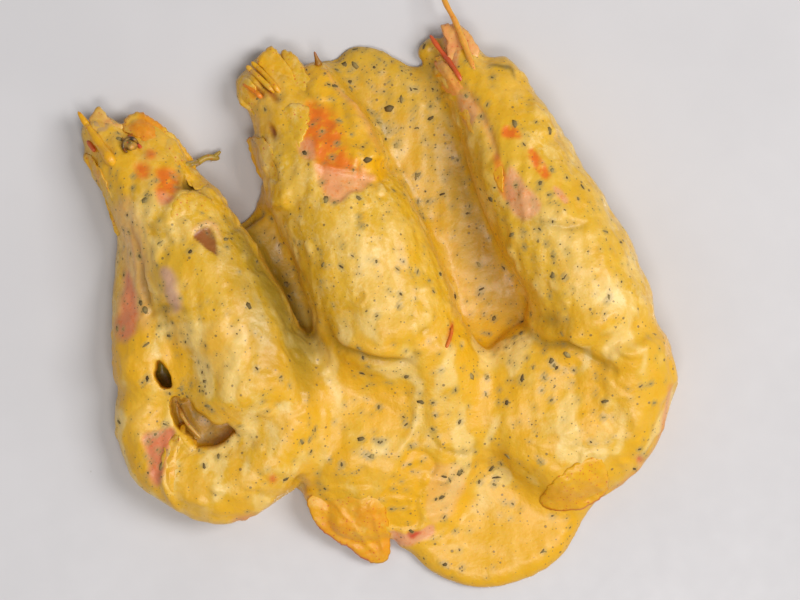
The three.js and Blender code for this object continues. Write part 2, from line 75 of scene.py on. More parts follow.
# Each prawn's trunk runs from head to rear along a line that bows towards bend; its curl is an arc in
# degrees. Both have the sauce on, and heights are above the well.
# A leaf is a thin blade of shell. It goes down into the cream towards the second end of from_to, the later
# the larger its fade, and stands up from its edge by lift. Its heights are those of a slope that it never
# lies below. A spot and a rim are painted round a middle, with a reach and a paint. Ridges run along it.
# A rod is a thin round feeler; thick and heights are at its two ends, and core paints its top.
# Any other word is a paint with its strength, and film is the sauce that lies on the shell.
PRAWNS = {
    "prawn_left": {
        "trunk": {
            "head": (-67.5, 37.8), "bend": (-44.4, 13.9), "rear": (-32.6, -17.2),
            "girth": 13.6, "tops": (9, 23.5),
        },
        "curl": {
            "middle": (-41, -22.5), "radius": 17.1, "sweep": (5, -193),
            "halves": (7, 12.8, 3), "tops": (20, 15, 11),
        },
        "leaves": [
            {"outline": ((-70, 31.7), (-69.1, 32.6), (-67.5, 31.2), (-65.8, 28.6), (-64.2, 25.1),
                         (-62.9, 21.6), (-61.6, 17.2), (-62.3, 14.1), (-63.8, 18), (-65.1, 22),
                         (-66.9, 26.4), (-68.6, 29.3)),
             "from_to": ((-70, 32), (-62, 15)), "heights": (6.4, 9.5), "lift": 0.7, "film": 0.75,
             "gold": 0.5},
            {"outline": ((-68.6, 39.4), (-66.7, 42.7), (-65.3, 41.6), (-63.6, 39.4), (-61.2, 38.3),
                         (-62, 36.1), (-64.7, 34.8), (-66.9, 36.3)),
             "from_to": ((-66.7, 42.7), (-62, 36)), "heights": (6.6, 9), "lift": 0.6, "film": 0.3,
             "gold": 0.3, "tan": 0.6},
            {"outline": ((-61.6, 38.1), (-59.8, 40.9), (-57.6, 41.6), (-55.4, 40.7), (-52.8, 38.7),
                         (-50.6, 37), (-49.3, 34.8), (-50.2, 32.6), (-52.8, 33), (-55.4, 33.9),
                         (-57.2, 35.6), (-59.4, 36.5)),
             "from_to": ((-57.6, 41.6), (-53, 33)), "heights": (6.4, 10), "lift": 0.9, "film": 0.35,
             "gold": 0.4, "spot": ((-55.4, 38.2), 4.6, "shell"), "ridges": (((-59.2, 39.4), (-51, 34.4)),)},
            {"outline": ((-50.2, 36.5), (-46.2, 31.9), (-44, 27.1), (-42.7, 25.1), (-44.9, 24.2),
                         (-47.5, 26.8), (-50.2, 29), (-52.8, 30.4), (-54.1, 32.1), (-52.8, 33.4)),
             "from_to": ((-46, 33), (-52, 29)), "heights": (7, 11), "lift": 0.6, "film": 0.45, "gold": 0.8},
            {"outline": ((-50.2, 19.8), (-49.3, 22.2), (-47.3, 23.5), (-45.1, 24), (-42.7, 23.1),
                         (-40.9, 21.3), (-40, 18.7), (-41.4, 15), (-44.9, 13.2), (-48.4, 14.1),
                         (-50.2, 16.7)),
             "from_to": ((-47, 23.6), (-44.6, 15)), "lift": 0.7, "film": 1},
            {"outline": ((-51.9, -39.2), (-52.4, -34.1), (-50.6, -30.8), (-48.8, -28.6), (-47.3, -27),
                         (-46.9, -29.9), (-44.7, -30.8), (-44.9, -33), (-47.3, -33.7), (-48, -37.4),
                         (-48.4, -41.8), (-49.3, -46.6), (-51, -44), (-51.7, -41.4)),
             "from_to": ((-54, -30), (-41, -42)), "lift": 0.5, "film": 0.45, "gold": 0.7,
             "ridges": (((-48, -29), (-50.4, -36)), ((-50.6, -38), (-49.6, -45)))},
        ],
        "rods": [
            {"points": ((-60.6, 26.9), (-65.6, 33.6), (-71.1, 41.6)), "heights": (9.4, 7), "thick": (3, 1),
             "gold": 0.9, "shell": 0.75},
            {"points": ((-69.2, 35.4), (-67.2, 32.8)), "heights": (5.6, 6.8), "thick": (1.2, 1),
             "red": 0.8},
            {"points": ((-60.2, 36.6), (-56.8, 33.4)), "heights": (8.8, 10.2), "thick": (0.9, 0.8),
             "red": 0.9},
            {"points": ((-61.6, 36), (-58.4, 33.2)), "heights": (8.4, 9.8), "thick": (0.8, 0.7),
             "deep": 0.4},
            {"points": ((-49, 29), (-45.2, 30.3), (-42.8, 31.6), (-40, 31.4)), "heights": (5, 1.5),
             "thick": (1.8, 1.1), "olive": 1},
            {"points": ((-42, 30.9), (-40.6, 32.3), (-39.8, 33)), "heights": (2.2, 1.6),
             "thick": (1.2, 0.7), "olive": 1},
            {"points": ((-49.3, -22.6), (-47.2, -26.6), (-44, -30.4)), "heights": (9, 9),
             "thick": (1.2, 0.8), "pale": 0.3, "olive": 0.7},
        ],
        "eye": (-59.2, 33.9),
    },
    "prawn_middle": {
        "trunk": {
            "head": (-30.4, 48), "bend": (-11.9, 23.5), "rear": (-1.8, -5.5),
            "girth": 15, "tops": (10, 24),
        },
        "curl": {
            "middle": (-11.4, -22.4), "radius": 21.6, "sweep": (30, -85),
            "halves": (8.8, 9.7, 10.3), "tops": (19, 12, 8),
        },
        "leaves": [
            {"outline": ((-31.7, 52.6), (-30.4, 54.8), (-28.8, 56), (-27.7, 55.7), (-26.4, 54.1),
                         (-24.9, 52.1), (-23.5, 49.7), (-22.7, 46.6), (-22.9, 44), (-25.1, 44.9),
                         (-27.3, 47.5), (-29.5, 49.9)),
             "from_to": ((-29.4, 56), (-24, 45)), "heights": (6.4, 12), "lift": 0.8, "film": 0.35,
             "gold": 0.9},
            {"outline": ((-26.2, 55), (-25.3, 55.4), (-24.2, 54.8), (-22.7, 53.5), (-21.3, 51.5),
                         (-20, 49.1), (-19.1, 46.2), (-19.8, 44.4), (-22, 45.3), (-23.5, 48.4),
                         (-24.9, 51.5), (-26, 53.7)),
             "from_to": ((-25.4, 55), (-20, 45)), "heights": (6, 12.5), "lift": 0.8, "film": 0.7,
             "gold": 0.4},
            {"outline": ((-26.4, 41.8), (-23.8, 43.1), (-20.7, 42.7), (-19.6, 40.5), (-20.2, 37.4),
                         (-21.6, 33.9), (-22.7, 31.7), (-24.9, 32.6), (-26.6, 35.6), (-27.3, 39.2)),
             "from_to": ((-19.6, 40), (-27, 36)), "lift": 0.7, "film": 1},
            {"outline": ((-33.9, 35.4), (-32.6, 36), (-29.9, 35.4), (-28.4, 33.9), (-27.1, 31.2),
                         (-25.7, 28.2), (-24.9, 25.1), (-26.4, 22.9), (-28.6, 24.6), (-30.1, 26.4),
                         (-31.7, 28.4), (-32.8, 31.7)),
             "from_to": ((-34, 35.6), (-26, 24)), "heights": (6, 10.5), "lift": 0.7, "film": 0.75,
             "gold": 0.2, "tan": 0.25},
            {"outline": ((-35.6, 48), (-34.5, 49.3), (-33, 48.8), (-31.2, 46.2), (-29.9, 43.3), (-29, 40.5),
                         (-30.8, 39.2), (-32.6, 41.4), (-35, 42.9), (-35.9, 45.3)),
             "from_to": ((-35.4, 49), (-29.4, 40)), "heights": (5.4, 10), "lift": 0.7, "film": 0.6,
             "gold": 0.6, "spot": ((-32.4, 45.8), 1.6, "shell")},
            {"outline": ((-20.2, -43.6), (-14.4, -42.2), (-8, -42), (-4, -44.2), (-2.4, -50), (-2.2, -55.7),
                         (-2.9, -57.9), (-6.2, -58.3), (-10.1, -55.9), (-16.9, -51.3), (-19.4, -48.2)),
             "from_to": ((-7, -58.3), (-9, -41.6)), "heights": (2.4, 8.6), "lift": 0.48, "fade": 8,
             "film": -0.1, "gold": 0.6, "shell": 0.4,
             "rim": ((-13, -54.4), 6.4, "red"),
             "ridges": (((-15, -44), (-5.6, -56)), ((-6.4, -45), (-3.6, -56)))},
        ],
        "rods": [
            {"points": ((-26.2, 44.4), (-30.4, 48.4), (-33.9, 51.7)), "heights": (11, 7.4),
             "thick": (1.5, 1), "gold": 0.6, "film": 0.4},
            {"points": ((-25.1, 43.8), (-29, 48.8), (-32.8, 52.6)), "heights": (11, 7.4), "thick": (1.5, 1),
             "gold": 0.8},
            {"points": ((-29.6, 43.8), (-32, 45.8), (-34.6, 47.6)), "heights": (8, 5.4),
             "thick": (1.2, 0.7), "shell": 0.8},
            {"points": ((-17.6, 51), (-18.3, 53), (-18.9, 54.8)), "heights": (6.6, 7.6), "thick": (2, 0.4),
             "deep": 0.6},
            {"points": ((11.4, -4.8), (11.2, -7.4), (10.1, -10.4)), "heights": (0, 0), "thick": (0.9, 0.7),
             "red": 0.6},
        ],
    },
    "prawn_right": {
        "trunk": {
            "head": (13.2, 53.9), "bend": (28.9, 26), "rear": (44, -2.6),
            "girth": 12.7, "tops": (9, 23),
        },
        "curl": {
            "middle": (31.5, -16.7), "radius": 20, "sweep": (15, -70),
            "halves": (8.8, 9.2, 8.8), "tops": (20, 13, 9),
        },
        "leaves": [
            {"outline": ((9, 60.5), (9.9, 61), (11.4, 60.9), (13.6, 60.4), (15.2, 59.2), (16.5, 57.2),
                         (17.4, 54.6), (16, 52), (13, 50.4), (11, 49.5), (10.1, 51.7), (10.3, 55),
                         (9.9, 57.9)),
             "from_to": ((11, 61), (14, 50)), "heights": (6.2, 10), "lift": 0.7, "film": 0.45, "pink": 0.5},
            {"outline": ((7.5, 52.6), (8.6, 50.4), (10, 48.6), (9.2, 47.4), (11, 45.1), (12.3, 42.5),
                         (14.7, 40.3), (15.8, 41.4), (15.2, 45.1), (13.2, 48), (11.4, 50.8), (9.2, 53)),
             "from_to": ((8, 53), (14.6, 41)), "heights": (5.6, 10.5), "lift": 0.8, "film": 0.2,
             "pink": 0.3, "shell": 0.3, "ridges": (((9, 52), (14, 43)),)},
            {"outline": ((7.9, 53.6), (8.4, 51), (7.9, 49.4), (9.6, 49.2), (9, 46.6), (10.6, 46.4),
                         (11.4, 49), (10.4, 52), (9.2, 54)),
             "from_to": ((7.6, 50), (12, 50)), "heights": (5.6, 8), "lift": 0.5, "film": 0.2, "gold": 0.6,
             "shell": 0.4},
            {"outline": ((12.9, 41.2), (14.2, 40), (14.9, 37.6), (16.6, 36), (16.9, 38.4), (15.8, 40.8),
             (14.4, 42.6)),
             "from_to": ((13, 39), (17.6, 40)), "heights": (8, 12), "lift": 0.5, "film": 0.3, "gold": 0.7},
            {"outline": ((19.8, 31.9), (20.9, 33.4), (22, 30.6), (22.6, 27.5), (22.6, 23.6), (21.3, 24.7),
                         (20, 28.2)),
             "from_to": ((22, 24), (20, 33)), "lift": 0.5, "film": 0.15, "gold": 0.5, "shell": 0.5},
            {"outline": ((43.6, -34.6), (39.4, -35.4), (34.8, -38.6), (31.6, -42.6), (31, -45.2),
                         (34.6, -46.6), (39.8, -46.4), (44.2, -43.8), (45.9, -41.4), (45.6, -37.6)),
             "from_to": ((37, -48), (43, -31)), "heights": (4, 11), "lift": 0.55, "fade": 8,
             "film": -0.1, "gold": 0.85,
             "spot": ((35.4, -43.6), 4, "shell"), "rim": ((39, -46.4), 6, "red"),
             "ridges": (((41, -39.6), (44.6, -41.8)), ((38, -39), (34, -44)))},
        ],
        "rods": [
            {"points": ((18.9, 45.1), (16.9, 49.1), (14.3, 56.1), (12.3, 61.2), (9.9, 66), (7, 74)),
             "heights": (12, 4.4), "thick": (1.7, 1), "film": 0.35, "pale": 0.15, "core": 1.0},
            {"points": ((15, 45.8), (11, 52.4), (8.8, 55.3), (6.6, 58.6)), "heights": (10.4, 5.6),
             "thick": (1.2, 0.9), "red": 0.9},
        ],
    },
}

# The heads' thin jagged shells under a film of sauce: their outline, the line from tip to back along
# which they rise, and the heights above the well at its ends.
HEADS = (
    {"outline": ((-70, 31.5), (-68.2, 34.1), (-69.3, 37), (-69.2, 39.2), (-67.8, 39.6), (-66.7, 42.5),
                 (-63.8, 39.6), (-61.6, 38.1), (-59.4, 41.2), (-56.5, 41.1), (-52.8, 38.1), (-49.1, 35.2),
                 (-46.9, 31.9), (-44, 26.8), (-41.8, 22.7), (-45.1, 16.5), (-52.8, 14.3), (-60.5, 14.1),
                 (-61.2, 16.9), (-62.7, 21.3), (-64.5, 24.2), (-67.5, 28.6)),
     "rise": ((-67, 42), (-46, 14)), "tops": (6.6, 19), "raised": 3.8},
    {"outline": ((-35.8, 48.4), (-33.3, 51.7), (-31.9, 53.1), (-28.9, 56), (-26.7, 54.2), (-25.3, 55.1),
                 (-23.4, 53.9), (-21.2, 51.6), (-19.6, 52.8), (-16.5, 52.9), (-14.8, 51.5), (-11.6, 46.2),
                 (-8.6, 41.8), (-5.5, 36.3), (-2.8, 30.8), (-8.8, 24.2), (-17.6, 22), (-25.3, 18.7),
                 (-28.9, 19.8), (-29.5, 22.2), (-29.5, 25.9), (-31.4, 28.1), (-32.5, 31.9), (-33.5, 35.8),
                 (-30.2, 35.8), (-31.7, 39), (-33, 42.4), (-34.6, 43.2), (-35.5, 45.1)),
     "rise": ((-30, 55), (-14, 26)), "tops": (6.4, 22), "raised": 3.8},
    {"outline": ((7.7, 53.1), (9.2, 54.6), (9.9, 58.9), (9, 60.5), (12.1, 61.9), (14.3, 60.3), (15.9, 58.1),
                 (17.6, 55.5), (19.2, 54.2), (22, 53.7), (23.1, 53.9), (25.3, 51.7), (28.6, 47.3),
                 (31.9, 42.9), (35.2, 36.9), (30.8, 30.8), (23.1, 26.4), (19.8, 24.2), (17.6, 26.9),
                 (17.3, 30.2), (16.7, 33.5), (15.1, 36.3), (14.3, 39.6), (12.7, 41.2), (11.6, 43.2),
                 (9.3, 45.2), (10.7, 45.6), (9.3, 47.9), (7.9, 50)),
     "rise": ((11, 61), (26, 32)), "tops": (6.6, 20), "raised": 3.8},
    {"outline": ((-21.3, -41.8), (-20, -44.6), (-16, -45.6), (-7, -44.8), (-3, -50), (0, -54.6),
                 (2.6, -54.2), (5.5, -52.4), (8.1, -50.8), (11, -49), (12.8, -45.1), (15, -41.4),
                 (15.6, -37.2), (14, -34), (6.6, -28.6), (-4.4, -28.6), (-15.4, -33), (-21.3, -38.5)),
     "rise": ((-2, -56), (0, -30)), "tops": (4.6, 13), "raised": 2.6},
    {"outline": ((31.6, -43), (34.8, -45), (40, -45), (44.6, -42.6), (48.4, -39.8), (51, -35.8),
                 (54, -33.4), (56.4, -30), (46, -22), (34, -28), (31, -36)),
     "rise": ((38, -46), (44, -28)), "tops": (4.6, 13), "raised": 2.6},
)

# A head's rounding at its edge, and how far in from its edge it has its full height.
HEAD_EDGE = 1.3
HEAD_SHOULDER = 9.0

# A leaf's thickness, how far its base and its edge are sunk in the cream, and its uneven outline and top.
LEAF_THICK = 1.1
BASE_SINK = 0.9
EDGE_SINK = 0.12
LEAF_JAG = 0.24
LEAF_WAVER = ((2.2, 0.24, 5), (0.8, 0.13, 6))

# What is left between the sauce's coat and the shell under it.
SHELL_GAP = 3.2

# The height map of the cream's top: half its side, and the side of a cell.
MAP_HALF = 80.0
MAP_CELL = 0.8

# The pool of sauce under and between the prawns, round its edge from the back left.
POOL_OUTLINE = (
    (-14.3, 53.2), (-10.6, 56.3), (-4.8, 55.7), (1.1, 52.4), (8.8, 49.7), (16.5, 41.8), (26, 17),
    (41.8, -7.7), (48, -22), (44, -39.6), (38.1, -53.9), (31.9, -59.8), (22, -63.6), (13.6, -63.1),
    (7, -60.3), (1.8, -54.8), (-3.3, -47.3), (-14.3, -42.2), (-28.6, -36.3), (-36, -12), (-38.3, 11),
    (-31.9, 20.5), (-24, 34), (-18, 48.4),
)
POOL_DEPTH = 3.7
POOL_EDGE = 4.2
POOL_WAVER = ((14, 0.55, 41), (6, 0.3, 43))

# Mounds of sauce inside the curls: middle, half length along X and Y, top above the well. The larger
# the power, the flatter the top.
MOUNDS = (
    ((-8.6, -23), (17, 20), 13.4),
    ((35.5, -22), (19, 19), 14.6),
    ((-43, -21), (13, 12.5), 14.6),
    ((-53.5, -12), (8.5, 10), 14.6),
)
MOUND_POWER = 3.2

# Thin runs of sauce: over the left tail fan, from there to the belly, and the drop by the right head.
RUNS = (
    {"ends": ((-58.6, -16), (-60.7, 18.7)), "halves": (4.4, 4.2, 2), "tops": (13, 11.5, 7.2)},
    {"ends": ((-57, 10), (-54.5, -12)), "halves": (4, 6.5, 6), "tops": (12, 14, 15)},
    {"ends": ((6.5, 55.8), (10.6, 51)), "halves": (2.9, 1.9, 1.7), "tops": (4.6, 3.6, 4.4)},
)

# Holes in the left tail: outline, the height of their floor above the well, and paint, which is painted
# shade on their floors.
HOLES = (
    (((-49.5, -21.6), (-45.8, -22), (-42.5, -25.2), (-40.5, -26.6), (-38.1, -26.4), (-36.1, -27.1),
      (-35.6, -28.2), (-36.7, -30.4), (-39.2, -31.7), (-42.7, -32.8), (-44.8, -32.4), (-46.4, -29.6),
      (-48, -28.6), (-49.5, -26.4), (-49.9, -23.5)), 6.4, {"deep": 0.3}),
    (((-52.8, -13.6), (-51.4, -14.8), (-50.4, -18.4), (-51, -19.2), (-52.8, -18.9), (-53.5, -15.8)), 5,
     {"deep": 0.3, "olive": 1.0}),
)
HOLE_WAVER = ((1.6, 0.5, 31), (0.8, 0.4, 32))

# How softly each body of sauce flows into the rest, and how round a hole's floor and lip are.
CURL_JOIN = 4
PRAWN_JOIN = 1.6
HEAD_JOIN = 1.5
MOUND_JOIN = 6
RUN_JOIN = 3
POOL_JOIN = 3.6
HOLE_FLOOR = 1.2
HOLE_LIP = 0.7

# The block of space that holds the food: its left front corner, and its right back upper one.
FOOD_FROM = (-74, -67)
FOOD_TO = (64, 64, 32.5)

# Places where the shell shows through, and two painted sheens: outline, how soft its edge is and how far
# it is sunk, and paint.
PATCHES = (
    (((-20.2, 44), (-20.6, 38.5), (-22, 33.6), (-18.6, 31), (-17.6, 25), (-15.8, 22.2), (-13.6, 21.6),
      (-10.5, 23.6), (-3.3, 26.2), (-2.6, 29.5), (-6.4, 31.5), (-9.7, 36.8), (-12.6, 43.1)), 1.4, 0.5,
     {"gold": 0.95}),
    (((-20.2, 43.6), (-20.8, 38.5), (-21, 33.6), (-18.6, 31), (-17.4, 27.6), (-11, 27.4), (-8, 28.4),
      (-11.6, 32), (-12.6, 36.8), (-15.6, 42)), 3.2, 0.1, {"shell": 0.95}),
    (((-18.6, 29.4), (-12.1, 28.2), (-5.1, 26.9), (-10, 23.4), (-13.6, 21.2), (-16, 21.8), (-17.2, 25)),
     1.4, 0.3, {"pink": 0.75}),
    (((-17.4, 27.2), (-14, 27), (-12.6, 24), (-15, 22.8)), 2.0, 0.0, {"shell": 0.55}),
    (((-22, 34.4), (-19.6, 34.8), (-18.6, 31), (-21, 31)), 1.4, 0.1, {"pink": 0.7}),
    (((-12, 46), (-8, 42), (-3, 30.4), (-5, 28.4), (-8.6, 30), (-11.6, 36)), 2.6, 0.0, {"gold": 0.8}),
    (((-44.7, 14.1), (-41.6, 15.6), (-39.6, 10.5), (-40.5, 9.8)), 0.7, 0.45, {"brown": 0.95}),
    (((-52, 6.4), (-50, 6.8), (-48.4, 3), (-47.6, -2), (-49.4, -3),
     (-50.6, 1)), 1.8, -0.2, {"purple": 0.8}),
    (((-62.6, 20), (-59, 22), (-55.5, 10), (-54.5, -4), (-57, -6), (-60.6, 4), (-62, 12)), 3.2, 0.0,
     {"pink": 0.3, "pale": 0.4}),
    (((-19.4, 51.6), (-15.6, 51.4), (-12.6, 45.6), (-17, 43)), 1.6, 0.0, {"gold": 0.9}),
    (((-31, 52.6), (-29, 55.2), (-26.8, 52.8), (-25.4, 49), (-28.6, 48.4)), 1.2, 0.0, {"gold": 0.9}),
    (((-52.8, 28.9), (-49.4, 28.4), (-47.6, 26.4), (-48.4, 23.6), (-50.8, 21.4), (-53, 22.6),
      (-53.4, 26)), 2.0, 0.45, {"shell": 0.95}),
    (((-52.6, 23.4), (-50.4, 23.6), (-49.8, 21.6), (-52, 20.8)), 1.8, 0.0, {"pink": 0.7}),
    (((-57.8, 29.6), (-55.4, 29.4), (-55.2, 27.2), (-57.4, 27)), 2.2, 0.1, {"shell": 0.95}),
    (((-55.4, 33), (-53.8, 32.6), (-53.8, 31), (-55.2, 31.2)), 1.6, 0.0, {"shell": 0.8}),
    (((-69, 39), (-66, 42), (-60, 40), (-52, 38), (-47, 31), (-50, 26), (-58, 23), (-66, 27)), 5.0, 0.0,
     {"gold": 0.5}),
    (((-35, 47), (-29, 55), (-22, 52), (-12, 50), (-8, 40), (-18, 40), (-28, 36), (-33, 42)), 5.0, 0.0,
     {"gold": 0.5}),
    (((8, 56), (12, 61), (17, 56), (24, 52), (30, 44), (24, 36), (16, 40), (11, 46)), 5.0, 0.0,
     {"gold": 0.4}),
    (((-58.8, 41), (-56, 40.4), (-54.6, 37), (-53, 35.4), (-54.8, 35.6), (-57.4, 38.6)), 0.9, 0.1,
     {"red": 0.75}),
    (((-65.4, 31.4), (-62, 30), (-58.6, 25), (-61, 22.6), (-64.4, 27)), 2.0, 0.0, {"gold": 0.6}),
    (((-56, -29.9), (-49.9, -28.6), (-51.3, -33), (-51.5, -37.8), (-53.2, -40.7), (-54.9, -38.5),
      (-55.5, -34.3)), 1.6, 0.5, {"red": 0.5, "pink": 0.9}),
    (((-61, 6), (-58.8, 3.4), (-57.4, -4.3), (-60, -9), (-62.2, -6), (-61.6, 0)), 2.4, 0.3,
     {"red": 0.45, "pink": 0.85}),
    (((22.8, 37.9), (25.4, 37.4), (26.2, 35.8), (24.4, 35), (22.4, 36)), 0.9, 0.15, {"shell": 1.0}),
    (((28.4, 32.6), (30.2, 32), (31.6, 29.6), (32.4, 27), (30.8, 26.6), (28.8, 29.4)), 1.0, 0.2,
     {"shell": 1.0}),
    (((33.4, 24.6), (35, 24), (36.6, 21.6), (35.4, 21.2)), 0.8, 0.0, {"pink": 0.8}),
    (((20.9, 31.8), (22.6, 29), (24.4, 23), (23, 22), (21, 26)), 1.0, 0.1, {"shell": 0.7}),
    (((24, 29), (27, 26), (30.6, 20), (27, 17.6), (24.4, 19), (23.2, 24)), 1.4, 0.0,
     {"pink": 0.8, "pale": 0.6}),
    (((9.4, 60.6), (12.1, 61.6), (13.8, 60), (13, 54), (11, 48), (9.6, 52)), 1.0, 0.0, {"pink": 0.8}),
    (((12, 46), (16, 44), (17, 40), (14.6, 38)), 1.2, 0.0, {"pink": 0.7}),
    (((-33.6, 36.2), (-31, 35.4), (-29.6, 30), (-31.4, 28.6), (-32.8, 32)), 0.7, -0.2, {"tan": 0.7}),
    (((-68.6, 39.4), (-66.7, 42.2), (-64, 39.4), (-66, 37.6)), 0.6, 0.0, {"tan": 0.9}),
    (((-9, -41), (-4.6, -43), (-1.1, -37.8), (0, -35.2), (3.3, -32.8), (6.6, -34.1), (8.1, -36.7),
      (6.6, -40.7), (4.2, -44), (4.8, -48.6), (3.3, -50.6), (-2.2, -50.2), (-3.6, -47)), 1.0, 0.5,
     {"gold": 1.0, "calm": 1.0}),
    (((8.4, -36), (13.6, -36.4), (14.6, -40), (13.4, -44), (11, -48), (7.4, -49.4), (5.6, -46),
      (6.2, -41)), 1.2, 0.1, {"pale": 0.7, "pink": 0.25}),
    (((-2.2, -51), (2, -51.6), (7, -49.8), (7.6, -51.6), (3.6, -53.6), (-1, -54.6)), 1.0, 0.2,
     {"pink": 0.9}),
    (((1.6, -51.4), (3.6, -50.8), (4.6, -51.6), (2.6, -52.8)), 0.9, 0.1, {"red": 1.0}),
    (((-20.6, -42.6), (-14, -41), (-7, -40.6), (-7.4, -43.4), (-14, -44), (-19.6, -45)), 1.0, -0.5, {}),
    # Painted sheen: broad pale patches where the left and right trunks' crowns catch the light.
    (((-53.2, -6.6), (-46.2, -4.8), (-35.2, -5.5), (-33.7, -9.9), (-36.3, -17.6), (-38.5, -20.9),
      (-40.7, -16.5), (-46.2, -11), (-51.7, -9.9)), 1.6, -0.1, {"pale": 0.75}),
    (((41.8, 1), (44, 5), (47, 4.4), (48.8, 0), (46, -2.6)), 2.4, 0.0, {"pale": 0.6}),
)
